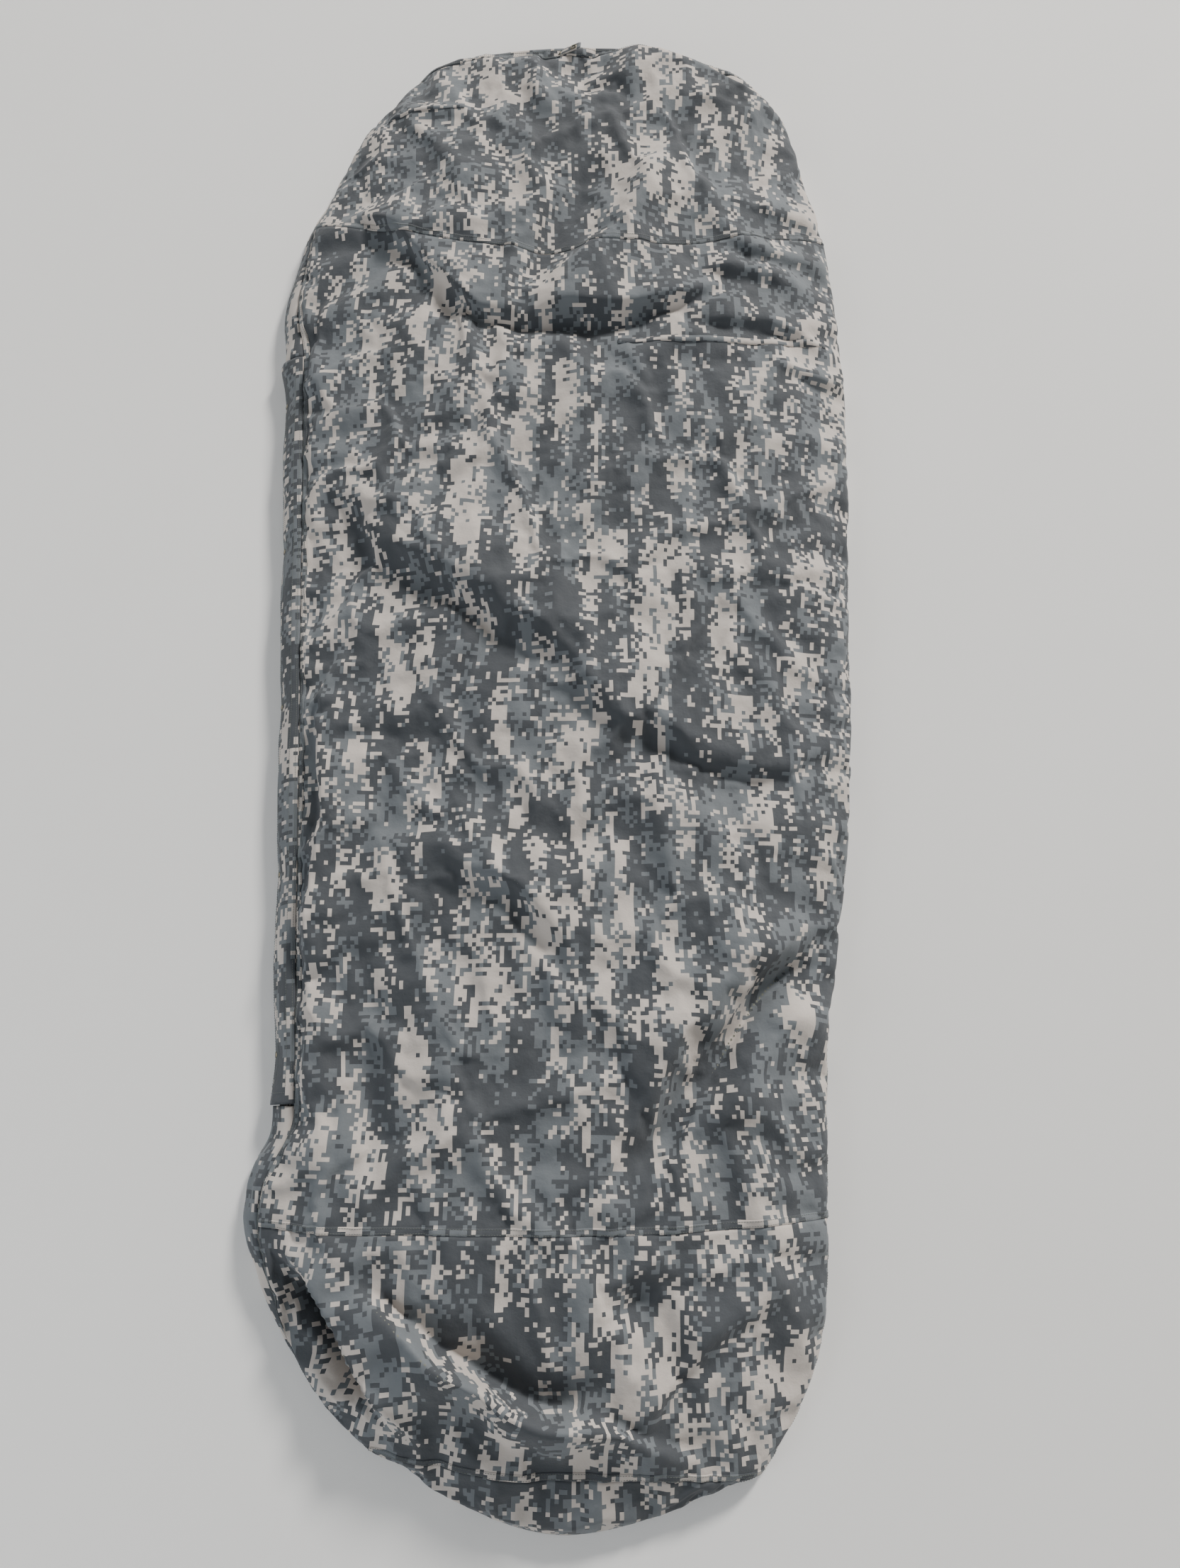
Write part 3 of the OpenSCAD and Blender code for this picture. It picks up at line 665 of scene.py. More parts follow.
# Sharp lines pressed into the cloth after its simulation.
CREASES = fold_table(
    """
    # The valley under the chest fold, and the lip that hangs over it.
    -11 8 28 0 | -250 660, -215 600, -175 565, -120 545, -70 526, -40 543, 0 538, 80 545, 150 555, 200 580,
        240 620
    5 30 10 5 | -240 675, -195 610, -140 565, -70 540, 0 558, 100 560, 180 580, 250 630
    # The second line of the chest fold on the left, and ridges from the fold up into the hood.
    -7 10 20 0 | -340 705, -270 675, -210 645, -150 600, -100 572, -50 540
    8 12 30 -3 | -60 550, -10 605, 30 645, 80 685, 120 740, 150 785, 190 850
    -5 22 10 0 | 0 645, 50 705, 90 755, 140 800
    4 18 24 0 | -100 600, -130 680, -150 770, -140 860
    6 10 30 -3 | 100 1010, 150 965, 200 943, 260 930, 330 900
    -3 12 12 0 | 240 655, 310 645, 380 632
    # The crest of the diagonal roll, in two parts.
    8 36 15 4 | -320 340, -265 276, -230 207, -196 178, -147 139, -98 104, -58 79, -30 45, 30 -38
    7 30 12 4 | 30 -70, 80 -82, 130 -94, 170 -110, 230 -135
    6 28 13 3 | -200 -225, -120 -270, -70 -305, -20 -360, 10 -400
    # The crease from the right hip, under its roll, and the roll beside it.
    -14 18 10 0 | 365 -365, 305 -420, 275 -450, 250 -475, 210 -530, 170 -600
    9 12 30 -6 | 345 -345, 285 -400, 235 -455, 195 -510, 155 -575
    6 22 18 0 | 290 -290, 240 -350, 200 -430, 170 -500, 130 -570, 105 -630, 60 -710
    # The ridge round the toes, hanging over the pocket above it.
    10 7 40 -6 | -290 -772, -215 -835, -165 -885, -120 -915, -70 -945, -25 -968
    -10 16 6 0 | -260 -790, -205 -825, -157 -872, -112 -900, -60 -930
    8 8 30 -3 | -55 -940, 0 -950, 45 -963, 90 -983, 130 -996, 190 -1005
    # The overlap on the left of the foot: its lip, and the gap under it.
    12 45 6 20 | -375 -745, -312 -790, -275 -840, -240 -890, -210 -937, -180 -972, -145 -1000
    -30 10 12 0 | -375 -768, -330 -800, -298 -850, -263 -902, -233 -950, -202 -987
    # Creases that run together to the toes.
    -8 14 14 0 | 190 -778, 120 -815, 70 -840, 20 -865
    6 12 20 0 | 230 -735, 140 -775, 90 -800, 40 -835
    5 16 16 0 | 210 -825, 150 -870, 100 -905, 50 -955
    -5 8 8 0 | 88 -955, 100 -1000, 100 -1055
    # Lengthwise creases on the left of the legs.
    4 12 16 0 | -255 -620, -245 -700, -225 -790
    -4 14 12 0 | -300 -500, -285 -620, -275 -720
    4 14 18 0 | -130 -440, -110 -560, -100 -680
    """
)


def beside(path, x, y):
    """For each place: its distance to the left of the path, and how far along the path it is, from 0 to 1."""
    curve = smooth_path(path)
    a, b = curve[:-1], curve[1:]
    length = arc_length(curve)
    best = np.full(x.shape, 1e9)
    left = np.zeros(x.shape)
    along = np.zeros(x.shape)
    for k in range(len(a)):
        step = b[k] - a[k]
        t = np.clip(((x - a[k, 0]) * step[0] + (y - a[k, 1]) * step[1]) / (step @ step), 0, 1)
        dx, dy = x - a[k, 0] - t * step[0], y - a[k, 1] - t * step[1]
        distance = np.hypot(dx, dy)
        closer = distance < best
        best = np.where(closer, distance, best)
        left = np.where(closer, distance * np.sign(step[0] * dy - step[1] * dx), left)
        along = np.where(closer, (length[k] + t * (length[k + 1] - length[k])) / length[-1], along)
    return left, along


def under_ceiling(grid):
    """Keeps the cloth above the floor, and presses what rises too high gently down."""
    z, start = grid[..., 2], HIGHEST - CEILING_DEPTH
    pressed = start + CEILING_DEPTH * np.tanh((z - start) / CEILING_DEPTH)
    grid[..., 2] = np.maximum(np.where(z > start, pressed, z), EDGE_Z)
    return grid


def fold_offset(grid, folds, sharp=False):
    """How far each fold moves each point: up to its crest, and over to the side it leans to."""
    x, y = grid[..., 0], grid[..., 1]
    offset = np.zeros(grid.shape)
    wander = 0.006 * noise(x * 14 + 3, y * 14, 5), 0.006 * noise(x * 14, y * 14 + 9, 6)
    for path, height, left_width, right_width, lean in folds:
        left, along = beside(path, x + wander[0], y + wander[1])
        across = np.abs(left) / np.where(left > 0, left_width, right_width)
        shape = np.exp(-across if sharp else -(across**2)) * ease(np.minimum(along, 1 - along) / 0.30)
        shape = shape * (0.9 + 0.35 * noise(along * 5, path[0][0] * 40, 7))
        heading = unit(np.array(path[-1]) - np.array(path[0]))
        offset += shape[..., None] * np.array([lean * heading[1], -lean * heading[0], height])
    return offset


def side_distances(grid):
    """How far each point is from the left and from the right end of its row."""
    return [np.linalg.norm(grid - grid[:, end], axis=-1) for end in (slice(0, 1), slice(-1, None))]


def inside_seams(grid, side, end):
    """A weight for each point: 0 at the sheet's edges, 1 from these distances inwards."""
    from_left, from_right = side_distances(grid)
    from_side = np.minimum(from_right / side, from_left / (0.75 * side))
    y = grid[..., 1]
    from_end = np.minimum(y - y[:1], y[-1:] - y + 0.4 * end) / end
    return (ease(from_side) * ease(from_end))[..., None]


def add_folds(grid):
    """Lifts and leans the grid along every fold, and keeps its edges where the seams are."""
    x, y = grid[..., 0], grid[..., 1]
    offset = fold_offset(grid, FOLDS) * (1, 1, FOLD_DEPTH)
    # Puckers that start at the right and left seams, and a loose overall ripple.
    from_left, from_right = side_distances(grid)
    pucker = 0.0045 * noise(x * 4, y * 17, 11) + 0.003 * noise(x * 6, y * 34, 12)
    offset[..., 2] += pucker * (np.exp(-from_right / 0.09) + np.exp(-from_left / 0.07))
    offset[..., 0] += 0.8 * pucker * np.exp(-from_right / 0.06)
    slant = noise((x + 0.6 * y) * 9, (y - 0.6 * x) * 5, 13)
    offset[..., 2] += 0.0035 * slant + 0.0025 * (1 - 2 * np.abs(noise(x * 13 + y * 5, y * 11 - x * 4, 14)))
    return under_ceiling(grid + offset * inside_seams(grid, 0.030, 0.03))


def simulate(grid):
    """Lets the cloth wrinkle: it is a little too large for its shape, and springs hold it near that shape."""
    rows, columns = grid.shape[:2]
    piece = Solid().add(grid, grid_faces(rows, columns)).make("cloth")
    hold = piece.vertex_groups.new(name="hold")
    number = np.arange(rows * columns).reshape(rows, columns)
    edge = np.ones((rows, columns), bool)
    edge[1:-1, 1:-1] = False
    hold.add(number[edge].tolist(), 1.0, "REPLACE")
    hold.add(number[~edge].tolist(), HOLD, "REPLACE")
    cloth = piece.modifiers.new("cloth", "CLOTH")
    s = cloth.settings
    s.quality = 5
    s.mass = 0.15
    s.air_damping = 2.0
    s.tension_stiffness = s.compression_stiffness = 25
    s.shear_stiffness = 6
    s.bending_stiffness = 1.2
    s.tension_damping = s.compression_damping = 6
    s.shear_damping = 3
    s.vertex_group_mass = "hold"
    s.pin_stiffness = 0.6
    s.shrink_min = s.shrink_max = -OVERSIZE
    s.effector_weights.gravity = 0
    cloth.collision_settings.use_collision = False
    cloth.collision_settings.use_self_collision = False
    cloth.point_cache.frame_end = SIMULATED_FRAMES
    for frame_number in range(1, SIMULATED_FRAMES + 1):
        bpy.context.scene.frame_set(frame_number)
    evaluated = piece.evaluated_get(bpy.context.evaluated_depsgraph_get())
    moved = np.empty(rows * columns * 3)
    evaluated.data.vertices.foreach_get("co", moved)
    bpy.context.scene.frame_set(1)
    bpy.data.objects.remove(piece)
    shift = moved.reshape(grid.shape) - grid
    size = np.linalg.norm(shift, axis=-1, keepdims=True)
    return grid + shift * (LARGEST_MOVE * np.tanh(size / LARGEST_MOVE) / np.maximum(size, 1e-9))


def finer(grid, times=FINER):
    """The grid with more points, on smooth curves through the old ones: first the rows, then the columns."""
    for _ in range(2):
        last = len(grid) - 1
        grid = np.swapaxes(cubic(grid, np.linspace(0, last, last * times + 1)), 0, 1)
    return grid


def unrolled(grid):
    """A first guess at the sheet laid flat: each row pulled out straight."""
    middle = grid.shape[1] // 2
    steps = np.linalg.norm(np.diff(grid, axis=1), axis=-1)
    across = np.concatenate([np.zeros((len(grid), 1)), np.cumsum(steps, 1)], 1)
    flat = np.stack([across - across[:, middle : middle + 1], grid[..., 1]], -1)
    flat[..., 0] += grid[:, middle : middle + 1, 0]
    return flat


def flatten(grid, flat, rounds):
    """Lays the sheet flat: springs pull each point to its true distances, so the print isn't stretched."""
    links = [((slice(None), slice(None, -1)), (slice(None), slice(1, None))),
             ((slice(None, -1), slice(None)), (slice(1, None), slice(None))),
             ((slice(None, -1), slice(None, -1)), (slice(1, None), slice(1, None))),
             ((slice(None, -1), slice(1, None)), (slice(1, None), slice(None, -1)))]  # fmt: skip
    true = [np.linalg.norm(grid[b] - grid[a], axis=-1) for a, b in links]
    for _ in range(rounds):
        pull = np.zeros(flat.shape)
        for (a, b), length in zip(links, true):
            gap = flat[b] - flat[a]
            now = np.maximum(np.linalg.norm(gap, axis=-1), 1e-6)
            move = gap * ((now - length) / now)[..., None] * PULL
            pull[a] += move
            pull[b] -= move
        flat += pull
    return flat


middles, seam_rows = row_middles()
coarse = add_folds(np.array([row_arch(m) for m in middles]))
coarse = simulate(coarse)
coarse = under_ceiling(coarse)
top = finer(coarse)
top = under_ceiling(top + fold_offset(top, CREASES, sharp=True) * inside_seams(top, 0.024, 0.02))
crumple = 0.5 - np.abs(noise(top[..., 0] * 34 + top[..., 1] * 9, top[..., 1] * 28, 21))
crumple += 0.6 * (0.5 - np.abs(noise(top[..., 0] * 62 - top[..., 1] * 21, top[..., 1] * 55, 22)))
top[1:-1, 1:-1, 2] += CRUMPLE_DEPTH * crumple[1:-1, 1:-1]
top_print = flatten(top, finer(flatten(coarse, unrolled(coarse), 160)), 60)
top_fabric = np.concatenate([top_print, np.zeros(top.shape[:2] + (1,))], -1)
top_normals = grid_normals(top)
SEAMS = [r * FINER for r in seam_rows]


def seam_shift(number):
    """The print doesn't run on across a seam, so each panel takes it from another place."""
    return np.array([0.37 * number, 0.91 * number, 0])


# ---------------- seams

FELL_WIDTH, SEAL_WIDTH = 0.010, 0.022
BAND_THICKNESS = 0.0006
STITCH_LIFT = 0.0001  # from the face that a row of stitches lies on


def rows_of(grid, normals, first, offsets, lifts):
    """Lines beside row first, so many rows away, lifted off the sheet."""
    at = first + np.array(offsets)
    return cubic(grid, at) + cubic(normals, at) * np.array(lifts)[:, None, None]


def row_spacing(grid, row):
    """The mean distance between a row and its neighbours."""
    return np.linalg.norm(np.gradient(grid, axis=0)[row], axis=-1).mean()


def felled_seam(solid, thread, fabric, row):
    """A flat-felled seam: a raised band beside the row, with two rows of stitches."""
    width = FELL_WIDTH / row_spacing(top, row)
    offsets = np.array([0, 0.02, 0.12, 0.5, 0.88, 0.98, 1.0]) * width
    lifts = np.array([-0.2, 0.6, 0.95, 1.0, 0.95, 0.6, -0.2]) * FABRIC
    solid.sheet(rows_of(top, top_normals, row, offsets, lifts), cubic(fabric, row + offsets), BAND_THICKNESS)
    for part in (0.2, 0.8):
        stitch_row(thread, top, top_normals, row + part * width, 0.00095)


def sealed_strip(seam, row):
    """A sealing tape inside a seam, just under the cloth."""
    offsets = np.array([-1, -0.5, 0, 0.5, 1]) * SEAL_WIDTH / 2 / row_spacing(top, row)
    lifts = [-FABRIC - 0.0004] * len(offsets)
    grid = rows_of(top, top_normals, row, offsets, lifts)[:, 3:-3]
    piece = Solid().sheet(grid, flat_print(grid), 0.0003).make(seam + "_sealing", SEAL)
    declare(piece, ["seam_tape_" + seam])


def flat_print(grid, shift=(0, 0, 0)):
    """Fabric coordinates for a narrow grid: distance along its middle row, and down each column."""
    steps = np.linalg.norm(np.diff(grid, axis=0), axis=-1)
    v = np.concatenate([np.zeros((1, grid.shape[1])), np.cumsum(steps, 0)])
    u = np.broadcast_to(arc_length(grid[len(grid) // 2]), v.shape)
    return np.stack([u, v, np.zeros(u.shape)], -1) + np.array(shift)


def declare(piece, nodes, body="shell"):
    """Says what a sheet of cloth stands for and rides on."""
    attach(piece, body)
    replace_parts(piece, *nodes)
    return piece


def surface_area(grid):
    """The area of a grid's faces, each taken as two triangles."""
    a = np.cross(grid[1:, :-1] - grid[:-1, :-1], grid[:-1, 1:] - grid[:-1, :-1])
    b = np.cross(grid[1:, :-1] - grid[1:, 1:], grid[:-1, 1:] - grid[1:, 1:])
    return float((np.linalg.norm(a, axis=-1).sum() + np.linalg.norm(b, axis=-1).sum()) / 2)


# ---------------- the top panels

# Each panel runs from one seam to the next. All but the first have a felled seam at their start.
for number, name in enumerate(["foot_end", "top_foot", "top_body", "top_head"]):
    first, last = SEAMS[number], SEAMS[number + 1]
    grid, print_here = top[first : last + 1], top_fabric + seam_shift(number)
    solid, thread = Solid(), Solid()
    solid.sheet(grid, print_here[first : last + 1], FABRIC, inner_slot=1)
    if number > 0:
        felled_seam(solid, thread, print_here, first)
    piece = solid.make(name, CAMO_TOP, LINING)
    if thread.count:
        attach(thread.make(name + "_stitches", THREADS), "shell")
    spread = tuple(np.ptp(top_fabric[first : last + 1, :, k]) + SEAM_ALLOWANCE for k in (0, 1))
    area = surface_area(grid)
    if not 0.3 < area / (spread[0] * spread[1]) < 1:
        area = None
    declare(piece, [name + "_panel"])  # fmt: skip

for seam, number in (("hood", 3), ("knee", 2), ("foot", 1)):
    sealed_strip(seam, SEAMS[number])

# ---------------- the mouth

HEM_LIFT, HEM_SWELL, HEM_THICKNESS = 0.0004, 0.0012, 0.0034

hem_rows = slice(SEAMS[4], SEAMS[5] + 1)
hem_grid = finer(top[hem_rows])
hem_normals = grid_normals(hem_grid)
hem_fabric = finer(top_fabric[hem_rows]) + seam_shift(5)
swell = HEM_SWELL * np.sin(np.linspace(0.15, math.pi - 0.15, len(hem_grid)))[:, None, None]
solid, thread = Solid(), Solid()
solid.sheet(hem_grid + hem_normals * (HEM_LIFT + swell), hem_fabric, HEM_THICKNESS)
for part in (0.15, 0.8):
    row = int(part * (len(hem_grid) - 1))
    stitches(thread, hem_grid[row] + hem_normals[row] * 0.0017, hem_normals[row])
hem = solid.make("mouth_hem_cloth", CAMO_TOP)
hem_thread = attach(thread.make("mouth_hem_stitches", THREADS), "shell")
declare(hem, ["mouth_hem"])


def near_top(points):
    """The top's points and normals nearest to places given by x and y."""
    flat = top[..., :2].reshape(-1, 2)
    spot = [int(np.argmin(((flat - p) ** 2).sum(1))) for p in points]
    return top.reshape(-1, 3)[spot], top_normals.reshape(-1, 3)[spot]


def draped_line(solid, thread, path, width):
    """A sewn line across a panel: a narrow raised band with two rows of stitches, laid on the surface."""
    curve = even_spacing(smooth_path(path), 60)
    heading = unit(np.gradient(curve, axis=0))
    side = np.stack([-heading[:, 1], heading[:, 0]], -1)
    lines = []
    for part in (0, 0.06, 0.5, 0.94, 1.0):
        place = curve + side * width * (part - 0.5)
        spots, ups = near_top(place)
        tilt = ups[:, :2] / ups[:, 2:]
        z = spots[:, 2] - ((place - spots[:, :2]) * tilt).sum(-1)
        lift = 0.0008 if 0 < part < 1 else -0.0003
        lines.append(np.column_stack([place, z]) + ups * lift)
    grid = np.array(lines[::-1])
    for _ in range(3):
        grid[:, 1:-1, 2] = (grid[:, :-2, 2] + 2 * grid[:, 1:-1, 2] + grid[:, 2:, 2]) / 4
    solid.sheet(grid, flat_print(grid, (2.2, 1.3, 0)), BAND_THICKNESS)
    normals = grid_normals(grid)
    for part in (0.25, 0.75):
        stitch_row(thread, grid, normals, part * (len(grid) - 1), STITCH_LIFT)


solid, thread = Solid(), Solid()
draped_line(solid, thread, [(0.08, 0.497), (0.18, 0.498), (0.29, 0.505), (0.395, 0.517)], 0.009)
draped_line(solid, thread, [(-0.285, 0.926), (-0.22, 0.927), (-0.16, 0.925)], 0.008)
lines = solid.make("chest_and_dart_seams", CAMO_TOP)
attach(lines, "shell")
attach(thread.make("chest_and_dart_stitches", THREADS), "shell")

# ---------------- floor


def floor_rows(count=150, columns=60):
    """The floor sheet: flat on the ground, with its rim turned up to the seam."""
    rows = []
    for middle in np.linspace(FOOT_EDGE, LIP, count):
        foot, _ = left_foot(middle)
        right = float(right_x(middle))
        way = -np.cos(np.linspace(0, math.pi, columns))
        x = (foot + right) / 2 + (right - foot) / 2 * way
        rows.append(np.stack([x, row_bend(middle, way), np.zeros(columns)], -1))
    grid = np.array(rows)
    edge = np.minimum(*side_distances(grid))
    edge = np.minimum(edge, grid[..., 1] - grid[:1, :, 1])
    closed = 1 - ease((grid[..., 1] - 1.0) / 0.05)
    ripple = 0.0012 * (1 + noise(grid[..., 0] * 12, grid[..., 1] * 12, 31)) * ease(1 - edge / 0.05)
    grid[..., 2] = (EDGE_Z - 0.001) * np.exp(-edge / 0.006) * closed + ripple
    lip = ease((grid[..., 1] - 1.045) / 0.05)
    grid[..., 2] += lip * (0.004 + 0.004 * noise(grid[..., 0] * 13, 0.5, 32))
    return grid


floor_grid = floor_rows()
floor_print = floor_grid * (1, 1, 0)
solid = Solid().sheet(floor_grid[:, ::-1], floor_print[:, ::-1], FABRIC, inner_slot=1)
floor_piece = solid.make("floor_cloth", CAMO_FLOOR, LINING)
declare(floor_piece, ["floor_panel"])

# The hem round the hood end of the floor.
rim = np.concatenate([floor_grid[:, 0], floor_grid[-1, 1:-1], floor_grid[::-1, -1]])
lip_rim = even_spacing(rim[rim[:, 1] > 1.0], 160)
lip_rim[:, 2] += 0.002
inward = np.array([0.03, 0.8, 0]) - lip_rim
inward[:, 2] = 0
lip_rim += unit(inward) * 0.006
upward = np.tile([0, 0, 1.0], (len(lip_rim), 1))
lip_hem = sweep(Solid(), lip_rim, upward, oval(0.0085, 0.0019, 14)).make("lip_hem", CAMO_FLOOR)
declare(lip_hem, ["hood_floor_hem"])

# The sealing tape on the floor, a little inside its seam.
inner_rim = even_spacing(rim[rim[:, 1] < 1.03], 500)
at_ends = np.abs(inner_rim[:, 1]) > 0.95
towards = np.column_stack([-inner_rim[:, 0], -inner_rim[:, 1] * at_ends, np.zeros(len(inner_rim))])
tape_grid = np.array([inner_rim + unit(towards) * d for d in (0.010, 0.017, 0.024, 0.031)])
tape_grid[..., 2] = 0.0030
solid = Solid().sheet(tape_grid, flat_print(tape_grid), 0.0004)
tape = solid.make("floor_sealing", SEAL)
declare(tape, ["floor_seam_tape"])

# ---------------- left side


def side_strip(end, rows):
    """The strip between the top's left seam and the floor, beyond one end of the zip."""
    upper = top[rows, 0]
    row_places = np.interp(rows, np.arange(len(middles)) * FINER, middles)
    lower = np.array([(left_foot(m)[0], y, EDGE_Z) for m, y in zip(row_places, upper[:, 1])])
    share = np.linspace(0, 1, 12)[:, None]
    grid = upper * (1 - share[..., None]) + lower * share[..., None]
    height = (upper[:, 2] - EDGE_Z) / STRIP_RISE
    beside_flap = 1 - ease(past_wall(upper[:, 1]) / 0.05)
    bulge = (1 - (2 * share - 1) ** 4) * (0.0095 * height + 0.0045 * beside_flap)
    bulge = bulge + 0.003 * noise(np.arange(len(rows)) * 0.16, share * 2, 41) * np.sin(share * math.pi)
    grid[..., 0] -= bulge
    grid[..., 2] += 0.3 * bulge
    fabric = flat_print(grid[::-1], (1.7, 2.9, 0))[..., [1, 0, 2]]
    solid = Solid().sheet(grid[::-1, ::-1], fabric[:, ::-1], FABRIC, inner_slot=1)
    piece = solid.make("strip_" + end, CAMO_FLAP, LINING)
    declare(piece, ["side_strip_" + end])


zip_rows = np.where(past_wall(top[:, 0, 1]) < 0)[0]
side_strip("head", np.arange(zip_rows[-1], SEAMS[5] - 2))
side_strip("foot", np.arange(4, zip_rows[0] + 1))


def wall_band(name, node, up, along, out, thickness, materials, slot, shift=(0, 0, 0)):
    """A flat band on the wall, between two places up it and two places along the zip."""
    size = (up[1] - up[0], along[1] - along[0])
    rows = np.linspace(*along, max(int(size[1] / 0.006), 3))[:, None]
    grid = on_wall(np.linspace(*up, 5)[None, :], rows, out)
    solid = Solid().sheet(grid, flat_print(grid, shift), thickness, inner_slot=len(materials) - 1)
    declare(solid.make(name, *materials), [node])


WALL_SPAN, TAPE_SPAN = (-WALL_HALF, WALL_HALF), (-0.521, 0.521)
PATCH_UP, PATCH_START = (0.0165, 0.0505), 0.5195
HEAD_PATCH, FOOT_PATCH = (PATCH_START, WALL_HALF), (-WALL_HALF, -PATCH_START)
# Each one's place outwards from the wall, its thickness, materials and slot.
strip_cloth = (0.0, 0.0012, [CAMO_FLAP, LINING], "camo_top")
patch_cloth = (0.0006, 0.0014, [CAMO_FLAP], "camo_top")
tape_cloth = (-0.0014, 0.0012, [ZIP_TAPE], "zip_tape")
wall_band("wall_strip", "zip_side_strip", (0.0012, 0.017), WALL_SPAN, *strip_cloth, shift=(3, 3, 0))
wall_band("end_patch_head_cloth", "zip_end_patch_head", PATCH_UP, HEAD_PATCH, *patch_cloth, shift=(5, 1, 0))
wall_band("end_patch_foot_cloth", "zip_end_patch_foot", PATCH_UP, FOOT_PATCH, *patch_cloth, shift=(6, 2, 0))
wall_band("tape_lower", "zip_tape_lower", (0.0130, 0.0300), TAPE_SPAN, *tape_cloth)
wall_band("tape_upper", "zip_tape_upper", (0.0340, WALL_HEIGHT), TAPE_SPAN, *tape_cloth)

# The rows of stitches that hold the tapes and the strip.
solid = Solid()
along = np.linspace(-0.52, 0.52, 700)
for up, out in ((0.0145, 0.0001), (0.0162, 0.0001), (0.0485, -0.0013), (0.0270, -0.0013), (0.0365, -0.0013)):
    stitches(solid, on_wall(up, along, out), np.tile(OUT, (len(along), 1)))
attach(solid.make("zip_stitches", THREADS), "shell")


def coil(side, centre):
    """One side of the zip: a flattened spiral of nylon, whose loops mesh with the other side's."""
    pitch, steps_per_turn, wire = 0.002, 10, 0.00032
    turns = int(2 * CHAIN_HALF / pitch)
    angle = np.linspace(0, 2 * math.pi * turns, turns * steps_per_turn + 1)
    along = -CHAIN_HALF + pitch * angle / (2 * math.pi)
    path = on_wall(centre + 0.00145 * np.cos(angle), along, -0.002 + 0.00105 * np.sin(angle))
    normals = np.tile(UP * 0.3 + ALONG, (len(path), 1))
    piece = sweep(Solid(), path, normals, oval(wire, wire, 5)).make("coil_" + side, COIL)
    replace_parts(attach(piece, "shell"), "zip_coil_" + side)


coil("lower", 0.0310)
coil("upper", 0.0330)

# ---------------- storm flap

FLAP_HALF = 0.548


def flap_line(up_share, along):
    """The flap's outer face. up_share runs from 0 at the seam to 1 at the free edge."""
    up = np.interp(up_share, [0, 0.10, 0.20, 1], [0.0530, 0.0495, 0.0445, 0.0030])
    out_shares, outs = [0, 0.06, 0.12, 0.20, 0.28, 1], [0.0014, 0.0036, 0.0058, 0.0078, 0.0082, 0.0080]
    out = np.interp(up_share, out_shares, outs)
    between = np.abs(np.sin(math.pi * (along - SNAPS[0]) / (SNAPS[1] - SNAPS[0]))) ** 0.8
    loose = ease((up_share - 0.2) / 0.5)
    billow = (0.0028 * between + 0.0016 * between * noise(along * 22, up_share * 3, 51)) * loose
    billow = billow + 0.006 * np.sin(math.pi * np.clip(up_share, 0, 1)) ** 0.8 * (0.35 + 0.65 * between)
    billow = billow + 0.0006 * (1 + noise(along * 46, up_share * 5, 52)) * loose * between
    up = up + 0.0016 * noise(along * 11, 0.5, 53) * loose * between
    end_curl = 0.0050 * ease((np.abs(along) - 0.50) / 0.05) * loose
    return on_wall(up, along, out + billow + end_curl)


along = np.linspace(-FLAP_HALF, FLAP_HALF, 300)
share = np.concatenate([np.linspace(0, 0.28, 9), np.linspace(0.32, 0.955, 14), [0.98, 0.995, 1.0]])
flap_grid = flap_line(share[::-1][None, :], along[:, None])
flap_normals = grid_normals(flap_grid)
flap_fabric = flat_print(flap_grid, (0.4, 0.8, 0))
solid, thread = Solid(), Solid()
solid.sheet(flap_grid, flap_fabric, 0.0016)

# Rows of stitches along the flap, at shares of the way from its free edge to its seam, and across its ends.
lengthwise, lengthwise_normals = np.swapaxes(flap_grid, 0, 1), np.swapaxes(flap_normals, 0, 1)
for part in (0.05, 0.33, 0.80, 0.94):
    at = len(share) - 1 - np.interp(1 - part, share, np.arange(len(share)))
    stitch_row(thread, lengthwise, lengthwise_normals, at, 0.00005, slice(6, -6))
for row in (4, -5):
    stitches(thread, flap_grid[row, 1:-6], flap_normals[row, 1:-6])
flap = solid.make("flap_cloth", CAMO_FLAP)
hinge_up, hinge_out = 0.0510, 0.0025
blend_start = tuple(on_wall(hinge_up + 0.0015, 0.0, hinge_out))
blend_end = tuple(on_wall(hinge_up - 0.0025, 0.0, hinge_out))
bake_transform(flap)
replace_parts(flap, "storm_flap")
flap_thread = thread.make("flap_stitches", THREADS)
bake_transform(flap_thread)

# The band that covers the flap's seam, sewn to the top with two rows.
solid, thread = Solid(), Solid()
edge_grid, edge_normals = np.swapaxes(top, 0, 1), np.swapaxes(top_normals, 0, 1)
edge_fabric = np.swapaxes(top_fabric, 0, 1)
BAND_WIDTH, BAND_LIFT = 0.009, 0.0009
offsets = np.array([0.0, 0.02, 0.15, 0.5, 0.85, 0.98, 1.0]) * BAND_WIDTH / row_spacing(edge_grid, 0)
lifts = np.array([0.9, 1.0, 1.1, 1.1, 1.0, 0.6, -0.2]) * BAND_LIFT
rows = slice(SEAMS[1], SEAMS[4] - 8)
band = (cubic(edge_grid, offsets) + cubic(edge_normals, offsets) * lifts[:, None, None])[:, rows]
band_print = cubic(edge_fabric, offsets)[:, rows] + np.array([0.5, 0.2, 0])
solid.sheet(band[::-1], band_print[::-1], 0.0007)
for part in (0.22, 0.78):
    stitch_row(thread, edge_grid, edge_normals, part * offsets[-1], 0.00105, rows)
side_band = solid.make("flap_seam_band", CAMO_TOP)
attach(side_band, "shell")
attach(thread.make("flap_seam_stitches", THREADS), "shell")

